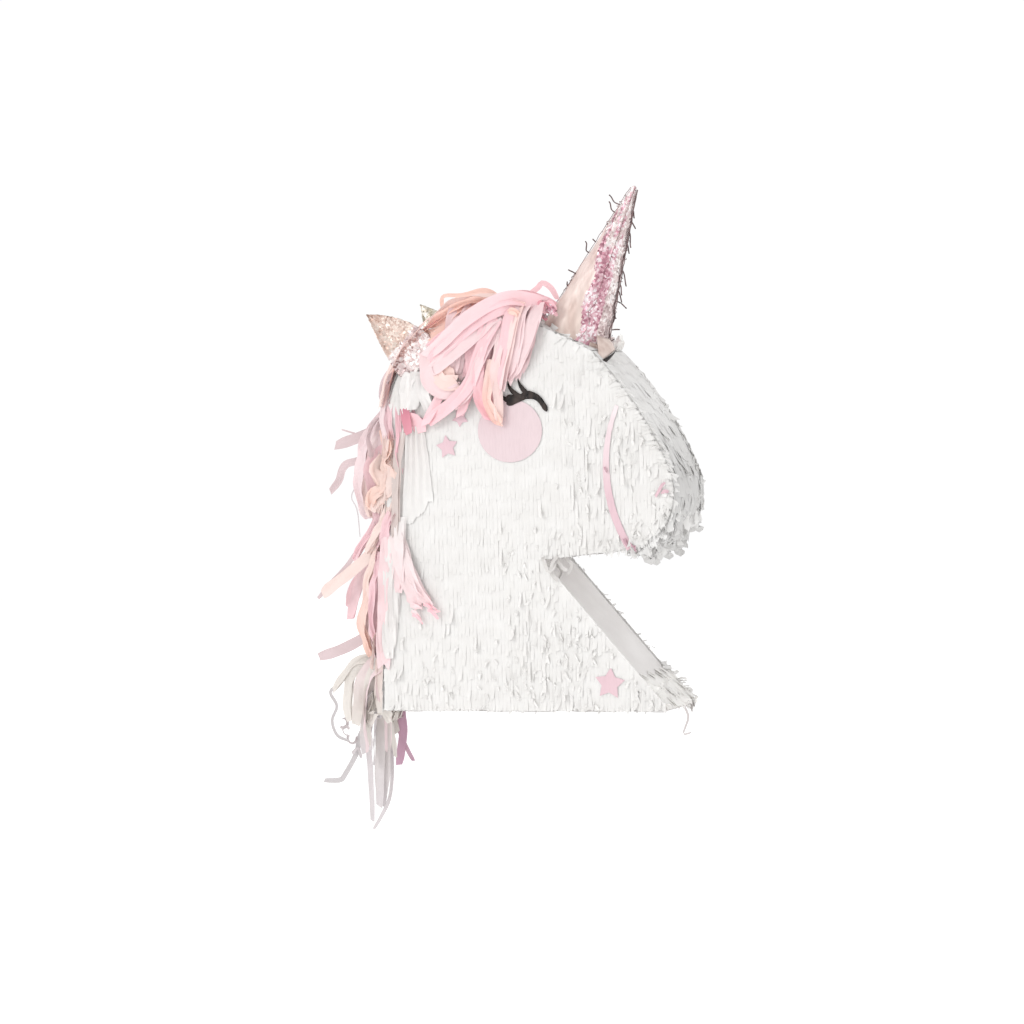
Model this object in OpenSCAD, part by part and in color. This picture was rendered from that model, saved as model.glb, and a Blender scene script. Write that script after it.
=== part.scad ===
// Unicorn-head pinata: a flat-sided cardboard box cut to the profile of a unicorn's head,
// skinned with fringed tissue, with a foil horn, foil ears and paper streamers.
// X runs towards the snout, Y away from the near side and Z up.
// The origin is the hanging hole, on the crown's outer card face.

/* [Body] */
// Height of the cardboard body, base to crown
body_h = 390; // [370:1:400]
// Length of the base
base_l = 297; // [290:1:305]
// How far the base reaches behind the hanging hole
base_back = 135; // [130:1:140]
// Depth of the body over its two cardboard panels
depth = 84; // [70:1:110]
// Thickness of the cardboard
card = 3; // [2:0.5:4]
// Thickness of the fringed tissue over the cardboard
fringe_t = 4; // [3:0.5:6]

/* [Head] */
// Radius of the crown's back
crown_r = 106; // [100:1:110]
// Radius of the nose
nose_r = 56; // [52:1:60]
// Height of the nose's centre
nose_h = 213; // [208:1:218]
// Reach of the nose's centre ahead of the hanging hole
nose_x = 119; // [114:1:122]
// Radius of the bridge, from the nose up to the horn
bridge_r = 346; // [300:1:420]
// Height of the throat's notch
throat_h = 148; // [140:1:150]
// Reach of the throat's notch ahead of the hanging hole
throat_x = 34; // [25:1:40]

/* [Horn and ears] */
// Length of the horn's axis, foot to tip
horn_len = 161; // [130:1:170]
// Radius of the horn at its foot
horn_r = 34; // [28:1:35]
// Lean of the horn towards the snout
horn_lean = 24.6; // [15:0.1:28]
// Length of an ear, from the middle of its root to its tip
ear_len = 65; // [55:1:75]
// Width of an ear at its widest
ear_w = 46; // [36:1:50]
// Thickness of an ear's paper
ear_t = 1.2; // [0.8:0.1:2]

/* [Hanging hole] */
// Radius of the hanging hole
hang_r = 4; // [3:0.5:5]

/* [Filling flap] */
// Width of the filling hole
flap_w = 90; // [70:1:100]
// Height of the filling hole
flap_h = 75; // [60:1:80]
// Height of the flap's fold line
flap_top = 180; // [170:1:190]
// Centre of the filling hole, ahead of the hanging hole
flap_x = -10; // [-20:1:0]

/* [Hidden] */

tissue_white = [0.95, 0.945, 0.93];
card_white = [0.86, 0.86, 0.85];
paper_pink = [0.95, 0.78, 0.82];
foil_pink = [0.85, 0.62, 0.67];
foil_gold = [0.80, 0.66, 0.58];
foil_black = [0.12, 0.12, 0.12];
streamer_pink = [0.97, 0.80, 0.84];
streamer_peach = [0.97, 0.78, 0.72];
streamer_cream = [0.92, 0.87, 0.83];

// The layers out from the body's middle, as distances along Y
strip_y = depth / 2 - card;
panel_y = depth / 2;
skin_y = panel_y + fringe_t;
trim_t = 0.6;
clear = 0.4;
ear_foil_t = 0.5;
lock_in_y = skin_y + ear_t + 2 * ear_foil_t + 2 * clear;
lock_out_y = lock_in_y + 12;

arc_step = 6;
$fn = 96;

// ---- Plane geometry: points are [x, z], with z from the base

function unit(v) = v / norm(v);
function left_of(v) = [-v[1], v[0]];
function bearing(v) = atan2(v[1], v[0]);
function polar(c, r, a) = c + r * [cos(a), sin(a)];

// Points along an arc, its two ends included
function arc(c, r, a0, a1) =
    let (n = max(2, ceil(abs(a1 - a0) * min(1, r / 100) / arc_step) + 2))
    [for (i = [0 : n]) polar(c, r, a0 + (a1 - a0) * i / n)];

// Where a line from p touches a circle, as the touching point's bearing from the centre
function touch(p, c, r, side) = bearing(p - c) + side * acos(r / norm(p - c));

// One crossing of two circles
function crossing(p, rp, q, rq, side) =
    let (d = norm(q - p), along = (d * d + rp * rp - rq * rq) / (2 * d))
    p + along * unit(q - p) + side * sqrt(rp * rp - along * along) * left_of(unit(q - p));

// A closed outline moved inwards by t, with mitred corners
function inset(pts, t) =
    let (n = len(pts))
    [for (i = [0 : n - 1])
        let (
            a = left_of(unit(pts[i] - pts[(i + n - 1) % n])),
            b = left_of(unit(pts[(i + 1) % n] - pts[i])))
        pts[i] + t * (a + b) / (1 + a * b)];

function stretch(pts, i0, i1) = [for (i = [i0 : i1]) pts[i % len(pts)]];
function reversed(pts) = [for (i = [len(pts) - 1 : -1 : 0]) pts[i]];

// ---- The head's profile, counter-clockwise from the base's back corner

heel = [-base_back, 0];
toe = [base_l - base_back, 0];
throat = [throat_x, throat_h];
nose_c = [nose_x, nose_h];
crown_c = [-15, body_h - crown_r];
seat_front = [96, body_h - 41];
seat_back = [14, body_h];
bridge_c = crossing(nose_c, bridge_r - nose_r, seat_front, bridge_r, 1);
jaw_a = touch(throat, nose_c, nose_r, 1);
nose_a = bearing(nose_c - bridge_c);
nape_a = touch(heel, crown_c, crown_r, -1);

nose_pts = arc(nose_c, nose_r, jaw_a, nose_a);
bridge_pts = [for (p = arc(bridge_c, bridge_r, nose_a, bearing(seat_front - bridge_c))) p];
crown_pts = arc(crown_c, crown_r, 90, nape_a < 0 ? nape_a + 360 : nape_a);

profile = concat([heel, toe, throat], nose_pts, [for (i = [1 : len(bridge_pts) - 1]) bridge_pts[i]],
    [seat_back], crown_pts);

i_heel = 0;
i_toe = 1;
i_throat = 2;
i_jaw = 3;
i_seat_front = i_jaw + len(nose_pts) + len(bridge_pts) - 2;
i_seat_back = i_seat_front + 1;
i_nape = len(profile) - 1;
i_end = len(profile);

// Where things lie on the sides, as [x, z]
cheek_at = [9.5, 276];
cheek_size = [34, 31];
eye_at = [24, 284];
eye_r = 28;
muzzle_c = [256, 236];
muzzle_r = 150;
muzzle_w = 7;
nostril_at = [165, 214];
star_places = [[[-58, 262], 12, 8], [[-43, 290], 9, 30], [[-95, 289], 12, -10], [[106, 27], 16, -6]];
horn_x = 64;
seat_slope = (seat_back[1] - seat_front[1]) / (seat_front[0] - seat_back[0]);
horn_foot = [horn_x, body_h - (horn_x - seat_back[0]) * seat_slope];
ear_root = [-90, 354];
near_ear_a = 139;
far_ear_a = 126;
flap_gap = 0.4;
thumb_r = 11;
fold_room = 8;

// ---- Solids drawn from the profile

// Extrudes a plane shape between two distances along Y
module slab(y0, y1) {
    translate([0, y1, -body_h]) rotate([90, 0, 0]) linear_extrude(y1 - y0) children();
}

// A band along a stretch of the profile, between two insets
module band(i0, i1, t0, t1) {
    polygon(concat(stretch(inset(profile, t0), i0, i1), reversed(stretch(inset(profile, t1), i0, i1))));
}

module strip(i0, i1) {
    slab(-strip_y, strip_y) band(i0, i1, 0, card);
}

module edge_skin(i0, i1) {
    slab(-skin_y, skin_y) band(i0, i1, -fringe_t, 0);
}

// A plane shape as a paper cut-out on the near side (side -1) or the far side (side 1)
module cut_out(side) {
    y = side < 0 ? -skin_y - trim_t : skin_y;
    slab(y, y + trim_t) children();
}

// ---- Cardboard body

module near_panel() {
    color(card_white) slab(-panel_y, -strip_y) polygon(profile);
}

// The filling hole, and the flap that closes it, with a gap all round and a thumb notch below
module window(grow = 0, up = 0) {
    translate([flap_x - flap_w / 2 - grow, flap_top - flap_h - grow])
        square([flap_w + 2 * grow, flap_h + grow + up]);
}

module flap_shape(inward, down) {
    difference() {
        translate([flap_x - flap_w / 2 + inward, flap_top - flap_h + inward])
            square([flap_w - 2 * inward, flap_h - inward - down]);
        translate([flap_x, flap_top - flap_h + inward]) circle(thumb_r);
    }
}

module far_panel() {
    color(card_white) slab(strip_y, panel_y) difference() {
        polygon(profile);
        window();
    }
}

module fill_flap() {
    color(card_white) slab(strip_y, panel_y) flap_shape(flap_gap, flap_gap);
}

module base_strip() {
    color(card_white) strip(i_heel, i_toe);
}

module chest_strip() {
    color(card_white) strip(i_toe, i_throat);
}

module jaw_strip() {
    color(card_white) strip(i_throat, i_jaw);
}

module snout_strip() {
    color(card_white) strip(i_jaw, i_seat_front);
}

module crown_strip() {
    color(card_white) difference() {
        strip(i_seat_front, i_nape);
        hang_bore(hang_r);
    }
}

module back_strip() {
    color(card_white) strip(i_nape, i_end);
}

// Gummed paper tape inside the six corners of the box
module corner_tapes() {
    tape_t = 0.4;
    tape_l = 16;
    n = len(profile);
    color(card_white) slab(-strip_y, strip_y) for (i = [i_heel, i_toe, i_throat, i_jaw, i_seat_front, i_nape])
        let (
            back = unit(profile[(i + n - 1) % n] - profile[i]),
            ahead = unit(profile[(i + 1) % n] - profile[i]),
            p = inset(profile, card)[i],
            q = inset(profile, card + tape_t)[i],
            reach = i == i_jaw || i == i_nape || i == i_seat_front ? 3 : tape_l)
        polygon([p + tape_l * back * reach / tape_l, p, p + reach * ahead, q + reach * ahead, q, q + reach * back]);
}

module hang_bore(r) {
    translate([0, 0, -card * 4]) cylinder(h = card * 8, r = r);
}

// A second layer of card under the crown, so that the hanging loop doesn't tear out
module hang_patch() {
    color(card_white) difference() {
        translate([-12, -25, -2 * card]) cube([24, 50, card]);
        hang_bore(hang_r);
    }
}

// ---- Horn

// Draws in the horn's own frame: the foot at the origin and the tip up the axis
module on_horn() {
    translate([horn_foot[0], 0, horn_foot[1] - body_h]) rotate([0, horn_lean, 0]) children();
}

// Everything above the line of the horn's seat, raised by lift
module above_seat(lift) {
    translate([seat_back[0], 0, lift]) rotate([0, atan(seat_slope), 0])
        translate([-60, -80, 0]) cube([240, 160, 260]);
}

horn_tip_r = 1.5;
horn_sink = 24;
horn_slope = (horn_r - horn_tip_r) / horn_len;

module horn_solid(grow, top = 0) {
    on_horn() translate([0, 0, -horn_sink])
        cylinder(h = horn_len + horn_sink + top, r1 = horn_r + horn_sink * horn_slope + grow,
            r2 = horn_tip_r + grow - top * horn_slope);
}

module horn_cone() {
    color(card_white) intersection() {
        difference() {
            horn_solid(0);
            horn_solid(-1.4);
        }
        above_seat(0);
    }
}

module horn_foil() {
    color(foil_pink) intersection() {
        difference() {
            horn_solid(0.75, 2);
            horn_solid(0.15);
        }
        above_seat(0);
    }
}

// Two tinsel wires down the horn's front and back
module horn_wires() {
    wire_r = 0.9;
    lean = atan(horn_slope);
    color(foil_gold) intersection() {
        on_horn() for (a = [0, 180])
            rotate([0, 0, a]) translate([horn_r + 0.75 + wire_r + 0.3, 0, 0]) rotate([0, -lean, 0])
                translate([0, 0, 12]) cylinder(h = horn_len - 20, r = wire_r);
        above_seat(fringe_t);
    }
}

// ---- Ears

// A leaf of card with its root at the origin and its tip along X
module ear_shape() {
    w = ear_w / 2;
    polygon([[-16, -w * 0.55], [4, -w * 0.92], [22, -w], [44, -w * 0.62], [ear_len, -2],
        [ear_len, 2], [50, w * 0.6], [30, w * 0.96], [8, w], [-12, w * 0.75]]);
}

// Draws between two distances out from the skin, on the near side (side -1) or the far side (side 1)
module on_side(side, out0, out1) {
    y0 = skin_y + out0;
    y1 = skin_y + out1;
    if (side < 0) slab(-y1, -y0) children();
    else slab(y0, y1) children();
}

module place_ear(side) {
    translate(ear_root) rotate(side < 0 ? near_ear_a : far_ear_a) ear_shape();
}

module ear(side) {
    color(card_white) on_side(side, clear, clear + ear_t) place_ear(side);
}

module ear_foil(side) {
    color(foil_gold) on_side(side, clear + ear_t, clear + ear_t + ear_foil_t) place_ear(side);
}

module near_ear() {
    ear(-1);
}

module far_ear() {
    ear(1);
}

module near_ear_foil() {
    ear_foil(-1);
}

module far_ear_foil() {
    ear_foil(1);
}

// ---- Fringed tissue skins

module near_fringe() {
    color(tissue_white) slab(-skin_y, -panel_y) polygon(profile);
}

module far_fringe() {
    color(tissue_white) slab(panel_y, skin_y) difference() {
        polygon(profile);
        window(1, fold_room);
    }
}

module flap_fringe() {
    color(tissue_white) slab(panel_y, skin_y) flap_shape(flap_gap, fold_room);
}

module snout_fringe() {
    color(tissue_white) edge_skin(i_jaw, i_seat_front);
}

// The tissue around the horn's foot
module seat_fringe() {
    color(tissue_white) difference() {
        edge_skin(i_seat_front, i_seat_back);
        horn_solid(1.2, 2);
    }
}

module crown_fringe() {
    color(tissue_white) difference() {
        edge_skin(i_seat_back, i_nape);
        hang_bore(2 * hang_r);
    }
}

module back_fringe() {
    color(tissue_white) edge_skin(i_nape, i_end);
}

// The tissue at the chest's lower end; the rest of the chest is bare card
module toe_fringe() {
    chest = unit(throat - toe);
    out = -left_of(chest) * fringe_t;
    p = toe + 4 * chest;
    q = toe + 46 * chest;
    color(tissue_white) slab(-skin_y, skin_y) polygon([p, p + out, q + out, q]);
}

// ---- Paper cut-outs on the two sides

// A lash curves up from its root at the origin to its tip, as a tapering bow
module lash(tip, w) {
    l = norm(tip);
    rotate(bearing(tip)) polygon([[0, -w], [l * 0.35, -w * 1.1], [l * 0.7, -w * 0.75], [l, 0],
        [l * 0.7, w * 0.15], [l * 0.35, w * 0.5], [0, w]]);
}

// A closed eyelid: a bow with a thick round end at the front, and three lashes up and back from it
module eye_shape() {
    lid = [24, 150];
    lid_w = 5;
    translate(eye_at) {
        polygon(concat(arc([0, 0], eye_r + lid_w / 2, lid[0], lid[1]),
            reversed(arc([0, 0], eye_r - lid_w / 2, lid[0], lid[1] - 4))));
        translate(polar([0, 0], eye_r, lid[0])) circle(lid_w / 2 + 0.4);
        for (k = [[68, [-15, 16]], [92, [-14, 13]], [120, [-12, 9]]])
            translate(polar([0, 0], eye_r, k[0])) lash(k[1], 3);
    }
}

module cheek_shape() {
    translate(cheek_at) polygon([for (a = [0 : 7.5 : 352.5])
        [cheek_size[0] * cos(a), cheek_size[1] * sin(a)]]);
}

// A strip of paper round the muzzle, from the bridge to the jaw
module muzzle_shape() {
    span = [155, 212.5];
    polygon(concat(arc(muzzle_c, muzzle_r, span[0], span[1]),
        reversed(arc(muzzle_c, muzzle_r - muzzle_w, span[0] + 0.6, span[1] - 0.6))));
}

module nostril_shape() {
    translate(nostril_at) rotate(-35) union() {
        circle(3.2);
        polygon([[-3.2, 0], [0, 3.2], [9, 1.2], [2, -3]]);
    }
}

module star_shape(r, turn) {
    rotate(turn) polygon([for (k = [0 : 9])
        let (rk = k % 2 == 0 ? r : r * 0.5) [rk * sin(36 * k), rk * cos(36 * k)]]);
}

module stars() {
    for (s = star_places) translate(s[0]) star_shape(s[1], s[2]);
}

module near_eye() {
    // The eye's lower edge lies over the cheek's paper, so it stands one paper further out
    color(foil_black) slab(-skin_y - 2 * trim_t, -skin_y - trim_t) eye_shape();
}

module far_eye() {
    color(foil_black) slab(skin_y + trim_t, skin_y + 2 * trim_t) eye_shape();
}

module near_cheek() {
    color(paper_pink) cut_out(-1) cheek_shape();
}

module far_cheek() {
    color(paper_pink) cut_out(1) cheek_shape();
}

module near_muzzle_band() {
    color(paper_pink) cut_out(-1) muzzle_shape();
}

module far_muzzle_band() {
    color(paper_pink) cut_out(1) muzzle_shape();
}

module near_nostril() {
    color(paper_pink) cut_out(-1) nostril_shape();
}

module far_nostril() {
    color(paper_pink) cut_out(1) nostril_shape();
}

module near_stars() {
    color(paper_pink) cut_out(-1) stars();
}

module far_stars() {
    color(paper_pink) cut_out(1) stars();
}

// ---- Streamers, as the plain space that each bunch fills

// The bunch that falls from the crown over the near side, down to the eye
module forelock() {
    color(streamer_pink) slab(-lock_out_y, -lock_in_y)
        polygon([[44, 398], [38, 364], [24, 335], [10, 318], [2, 287], [-8, 300], [-22, 306], [-34, 322],
            [-62, 308], [-80, 294], [-84, 308], [-70, 332], [-74, 352], [-62, 380], [-38, 398], [0, 406], [30, 406]]);
}

// The same bunch's roots and loops, over the crown
module forelock_crown() {
    top = body_h + fringe_t + clear;
    crown_out = crown_r + fringe_t + clear;
    color(streamer_pink) slab(-lock_in_y, 22) difference() {
        polygon(concat([[30, top + 26], [12, top]], arc(crown_c, crown_out, 90, 124),
            [[-94, 404], [-76, 410], [-44, 414], [-18, 414], [6, 416]]));
        translate([-3 * hang_r, body_h]) square([6 * hang_r, 60]);
    }
}

// Loose streamers down the near side's back edge
module neck_streamers() {
    color(streamer_cream) slab(-lock_out_y + 2, -lock_in_y)
        polygon([[-112, 326], [-92, 326], [-80, 260], [-68, 190], [-84, 150], [-72, 82], [-86, 78],
            [-110, 130], [-120, 170], [-112, 250]]);
}

// A bunch behind the neck: its front face follows the neck's back edge from z0 up to z1
function nape_x(z) = heel[0] + (profile[i_nape][0] - heel[0]) * z / profile[i_nape][1] - fringe_t - 1;

module bunch(z0, z1, behind, half_w) {
    slab(-half_w, half_w) polygon(concat([[nape_x(z0), z0], [nape_x(z1), z1]], behind));
}

module mane_top() {
    color(streamer_peach) bunch(190, 280, [[-134, 322], [-150, 320], [-196, 272], [-200, 226], [-180, 206]], 40);
}

module mane_middle() {
    color(streamer_pink) bunch(56, 188, [[-180, 204], [-196, 150], [-222, 112], [-222, 62], [-196, 58]], 40);
}

module mane_tail() {
    color(streamer_cream) slab(-40, 40)
        polygon([[nape_x(0) - 1, -4], [nape_x(54), 54], [-194, 56], [-220, 16], [-206, -34], [-222, -72],
            [-196, -70], [-180, -128], [-166, -132], [-152, -64], [-130, -50], [-130, -6], [-136, -6]]);
}

// ---- What is drawn

near_panel();
far_panel();
fill_flap();
base_strip();
chest_strip();
jaw_strip();
snout_strip();
crown_strip();
back_strip();
corner_tapes();
hang_patch();
horn_cone();
horn_foil();
horn_wires();
near_ear();
far_ear();
near_ear_foil();
far_ear_foil();
near_fringe();
far_fringe();
flap_fringe();
snout_fringe();
seat_fringe();
crown_fringe();
back_fringe();
toe_fringe();
near_eye();
far_eye();
near_cheek();
far_cheek();
near_muzzle_band();
far_muzzle_band();
near_nostril();
far_nostril();
near_stars();
far_stars();
forelock();
forelock_crown();
neck_streamers();
mane_top();
mane_middle();
mane_tail();
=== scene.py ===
"""The looks of the unicorn-head pinata: rows of cut tissue, foil horn and ears, paper cut-outs and streamers.
Lengths are in millimetres, and become metres where a mesh is made."""

import math
import random
from functools import partial

import bpy
from mathutils import Matrix, Vector, noise


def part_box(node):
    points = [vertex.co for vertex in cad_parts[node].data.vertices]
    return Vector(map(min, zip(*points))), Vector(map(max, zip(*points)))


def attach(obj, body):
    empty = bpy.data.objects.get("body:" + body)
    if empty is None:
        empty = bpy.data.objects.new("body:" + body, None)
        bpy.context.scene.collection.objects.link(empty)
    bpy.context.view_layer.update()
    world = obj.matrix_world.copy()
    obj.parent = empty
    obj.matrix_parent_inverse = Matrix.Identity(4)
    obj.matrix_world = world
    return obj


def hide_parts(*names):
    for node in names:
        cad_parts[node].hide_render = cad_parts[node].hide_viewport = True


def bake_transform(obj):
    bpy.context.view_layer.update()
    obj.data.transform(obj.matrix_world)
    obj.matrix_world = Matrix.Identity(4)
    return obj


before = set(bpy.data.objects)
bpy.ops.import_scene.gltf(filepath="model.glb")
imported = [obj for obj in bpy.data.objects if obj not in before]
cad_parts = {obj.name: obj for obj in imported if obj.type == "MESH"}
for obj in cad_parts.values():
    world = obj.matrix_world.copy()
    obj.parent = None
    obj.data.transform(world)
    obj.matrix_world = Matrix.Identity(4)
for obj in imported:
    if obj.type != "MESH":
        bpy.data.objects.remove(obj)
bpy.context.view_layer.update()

MM = 0.001
SHELL, FLAP = "shell", "flap"


def node_box(node):
    """A CAD node's lowest and highest corners, in millimetres."""
    low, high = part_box(node)
    return Vector(low) / MM, Vector(high) / MM


# ---- Camera, at the angle the photograph was taken from

AIM = Vector((-9.5, 0, -195)) * MM
VIEW_AZIMUTH = math.radians(22)
VIEW_ELEVATION = math.radians(2)
VIEW_ROLL = math.radians(1.93)
VIEW_DISTANCE = 3.0
SENSOR = 36
VIEW_HEIGHT = 1.024  # metres seen at the object's distance


def make_camera():
    a, e = VIEW_AZIMUTH, VIEW_ELEVATION
    right = Vector((math.cos(a), math.sin(a), 0))
    up = Vector((-math.sin(a) * math.sin(e), math.cos(a) * math.sin(e), math.cos(e)))
    back = right.cross(up)
    turn = Matrix((right, up, back)).transposed().to_4x4()
    roll = Matrix.Rotation(VIEW_ROLL, 4, "Y")
    data = bpy.data.cameras.new("camera")
    data.sensor_width = SENSOR
    data.lens = SENSOR * VIEW_DISTANCE / VIEW_HEIGHT
    camera = bpy.data.objects.new("camera", data)
    camera.matrix_world = Matrix.Translation(AIM) @ roll @ turn @ Matrix.Translation((0, 0, VIEW_DISTANCE))
    bpy.context.scene.collection.objects.link(camera)
    bpy.context.scene.camera = camera


# ---- Lights, floor and backdrop

FLOOR_Z = -0.66
FLOOR_SIZE = 14
FILL_STRENGTH = 0.9
BACKDROP_STRENGTH = 1.02


def area_light(name, place, size, watts, colour=(1, 1, 1)):
    """A round lamp that looks at the middle of the object."""
    data = bpy.data.lights.new(name, "AREA")
    data.shape = "DISK"
    data.size = size
    data.energy = watts
    data.color = colour
    turn = (AIM - Vector(place)).to_track_quat("-Z", "Y").to_matrix().to_4x4()
    lamp = bpy.data.objects.new(name, data)
    lamp.matrix_world = Matrix.Translation(place) @ turn
    bpy.context.scene.collection.objects.link(lamp)


def make_world():
    """Soft light from all round. The camera alone sees the backdrop as plain white."""
    world = bpy.data.worlds.new("studio")
    bpy.context.scene.world = world
    world.use_nodes = True
    tree = world.node_tree
    tree.nodes.clear()
    output = tree.nodes.new("ShaderNodeOutputWorld")
    mix = tree.nodes.new("ShaderNodeMixShader")
    path = tree.nodes.new("ShaderNodeLightPath")
    fill = tree.nodes.new("ShaderNodeBackground")
    seen = tree.nodes.new("ShaderNodeBackground")
    fill.inputs["Color"].default_value = (1.0, 0.995, 0.99, 1)
    fill.inputs["Strength"].default_value = FILL_STRENGTH
    seen.inputs["Color"].default_value = (1, 1, 1, 1)
    seen.inputs["Strength"].default_value = BACKDROP_STRENGTH
    tree.links.new(path.outputs["Is Camera Ray"], mix.inputs["Fac"])
    tree.links.new(fill.outputs[0], mix.inputs[1])
    tree.links.new(seen.outputs[0], mix.inputs[2])
    tree.links.new(mix.outputs[0], output.inputs["Surface"])


def make_studio():
    bpy.context.scene.view_settings.view_transform = "Standard"
    make_world()
    area_light("key", (-1.7, -2.6, 1.2), 1.3, 27, (1, 0.99, 0.98))
    area_light("side", (2.4, 1.2, 1.2), 1.2, 4)

    bpy.ops.mesh.primitive_grid_add(x_subdivisions=2, y_subdivisions=2, size=FLOOR_SIZE,
                                    location=(0, 0, FLOOR_Z))
    floor = bpy.context.object
    floor.name = "floor"
    pale = Shader("floor_white")
    pale.set("Base Color", (0.9, 0.9, 0.9, 1))
    pale.set("Roughness", 0.9)
    pale.set("Emission Color", (1, 1, 1, 1))
    pale.set("Emission Strength", 0.35)
    floor.data.materials.append(pale.material)


# ---- Materials

TISSUE_GLOW = 0.12
FLAKES_PER_METRE = 480
FLAKE_TILT = 0.8


class Shader:
    """A node material with one Principled shader, and short ways to add nodes to it."""

    def __init__(self, name):
        self.material = bpy.data.materials.new(name)
        self.material.use_nodes = True
        self.tree = self.material.node_tree
        self.main = self.tree.nodes["Principled BSDF"]
        self.coords = None

    def set(self, socket, value):
        self.main.inputs[socket].default_value = value

    def node(self, kind, **settings):
        made = self.tree.nodes.new("ShaderNode" + kind)
        for key, value in settings.items():
            setattr(made, key, value)
        return made

    def link(self, out, into):
        self.tree.links.new(out, into)

    def place(self):
        if self.coords is None:
            self.coords = self.node("TexCoord").outputs["Object"]
        return self.coords

    def stretched(self, scale):
        mapping = self.node("Mapping")
        mapping.inputs["Scale"].default_value = scale
        self.link(self.place(), mapping.inputs["Vector"])
        return mapping.outputs["Vector"]

    def noise(self, scale, detail=4, stretch=None):
        made = self.node("TexNoise")
        made.inputs["Scale"].default_value = scale
        made.inputs["Detail"].default_value = detail
        self.link(self.stretched(stretch) if stretch else self.place(), made.inputs["Vector"])
        return made.outputs["Fac"]

    def ramp(self, value, stops):
        made = self.node("ValToRGB")
        elements = made.color_ramp.elements
        while len(elements) < len(stops):
            elements.new(0.5)
        for element, (at, colour) in zip(elements, stops):
            element.position = at
            element.color = (*colour, 1)
        self.link(value, made.inputs["Fac"])
        return made.outputs["Color"]

    def mix(self, factor, first, second, blend="MIX"):
        made = self.node("Mix", data_type="RGBA", blend_type=blend)
        for socket, value in ((made.inputs[0], factor), (made.inputs[6], first), (made.inputs[7], second)):
            if isinstance(value, (int, float)):
                socket.default_value = value
            elif isinstance(value, tuple):
                socket.default_value = (*value, 1)
            else:
                self.link(value, socket)
        return made.outputs[2]

    def multiply(self, first, second):
        return self.mix(1.0, first, second, "MULTIPLY")

    def tint(self):
        """Each strip's own tint, from its mesh."""
        return self.node("Attribute", attribute_name="tint").outputs["Color"]

    def bump(self, height, strength, distance):
        made = self.node("Bump")
        made.inputs["Strength"].default_value = strength
        made.inputs["Distance"].default_value = distance
        self.link(height, made.inputs["Height"])
        self.link(made.outputs["Normal"], self.main.inputs["Normal"])

    def colour(self, out):
        self.link(out, self.main.inputs["Base Color"])

    def let_light_through(self, share, colour):
        """Thin paper: part of the light comes through from the other side."""
        back = self.node("BsdfTranslucent")
        self.link(colour, back.inputs["Color"])
        mixed = self.node("MixShader")
        mixed.inputs["Fac"].default_value = share
        self.link(self.main.outputs[0], mixed.inputs[1])
        self.link(back.outputs[0], mixed.inputs[2])
        self.link(mixed.outputs[0], self.tree.nodes["Material Output"].inputs["Surface"])


def tissue(name, grain):
    """Dyed tissue paper: each strip's own tint, cloudy dye, fine crinkles and a soft nap."""
    s = Shader(name)
    tint = s.tint()
    cloud = s.ramp(s.noise(60, 3), [(0.3, (0.95, 0.945, 0.94)), (0.7, (1, 1, 1))])
    dyed = s.multiply(tint, cloud)
    s.colour(dyed)
    s.set("Roughness", 0.85)
    s.set("Sheen Weight", 0.08)
    s.set("Sheen Roughness", 0.5)
    s.set("Specular IOR Level", 0.2)
    s.bump(s.noise(700, 5, grain), 0.45, 0.0007)
    s.let_light_through(TISSUE_GLOW, dyed)
    return s.material


def cut_paper(name, colour, shade):
    """Matt sugar paper: fibres, slight fading and tooth, under each piece's own tint."""
    s = Shader(name)
    tint = s.tint()
    fade = s.ramp(s.noise(35, 4), [(0.3, shade), (0.72, colour)])
    fibre = s.ramp(s.noise(700, 2, (1, 1, 0.15)), [(0.3, (0.955, 0.95, 0.95)), (0.6, (1, 1, 1))])
    s.colour(s.multiply(s.multiply(fade, fibre), tint))
    s.set("Roughness", 0.7)
    s.set("Specular IOR Level", 0.3)
    s.bump(s.noise(1200, 4), 0.25, 0.0004)
    return s.material


def card(name):
    """Grey-white packing card: mottled pulp, faint flute lines along Z and scuffs."""
    s = Shader(name)
    pulp = s.ramp(s.noise(28, 6), [(0.3, (0.75, 0.725, 0.715)), (0.7, (0.835, 0.815, 0.805))])
    speck = s.ramp(s.noise(1500, 2), [(0.27, (0.86, 0.85, 0.84)), (0.36, (1, 1, 1))])
    s.colour(s.multiply(pulp, speck))
    rough = s.node("MapRange")
    rough.inputs["To Min"].default_value = 0.6
    rough.inputs["To Max"].default_value = 0.8
    s.link(s.noise(90, 3), rough.inputs["Value"])
    s.link(rough.outputs[0], s.main.inputs["Roughness"])
    s.set("Specular IOR Level", 0.3)
    s.bump(s.noise(160, 4, (1, 4, 1)), 0.3, 0.0008)
    return s.material


def gummed_tape(name):
    """Creamy paper tape: long fibres and a slight gloss."""
    s = Shader(name)
    s.colour(s.ramp(s.noise(90, 4, (1, 1, 0.3)), [(0.3, (0.70, 0.67, 0.61)), (0.7, (0.78, 0.76, 0.71))]))
    s.set("Roughness", 0.5)
    s.bump(s.noise(500, 4), 0.25, 0.0004)
    return s.material


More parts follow.
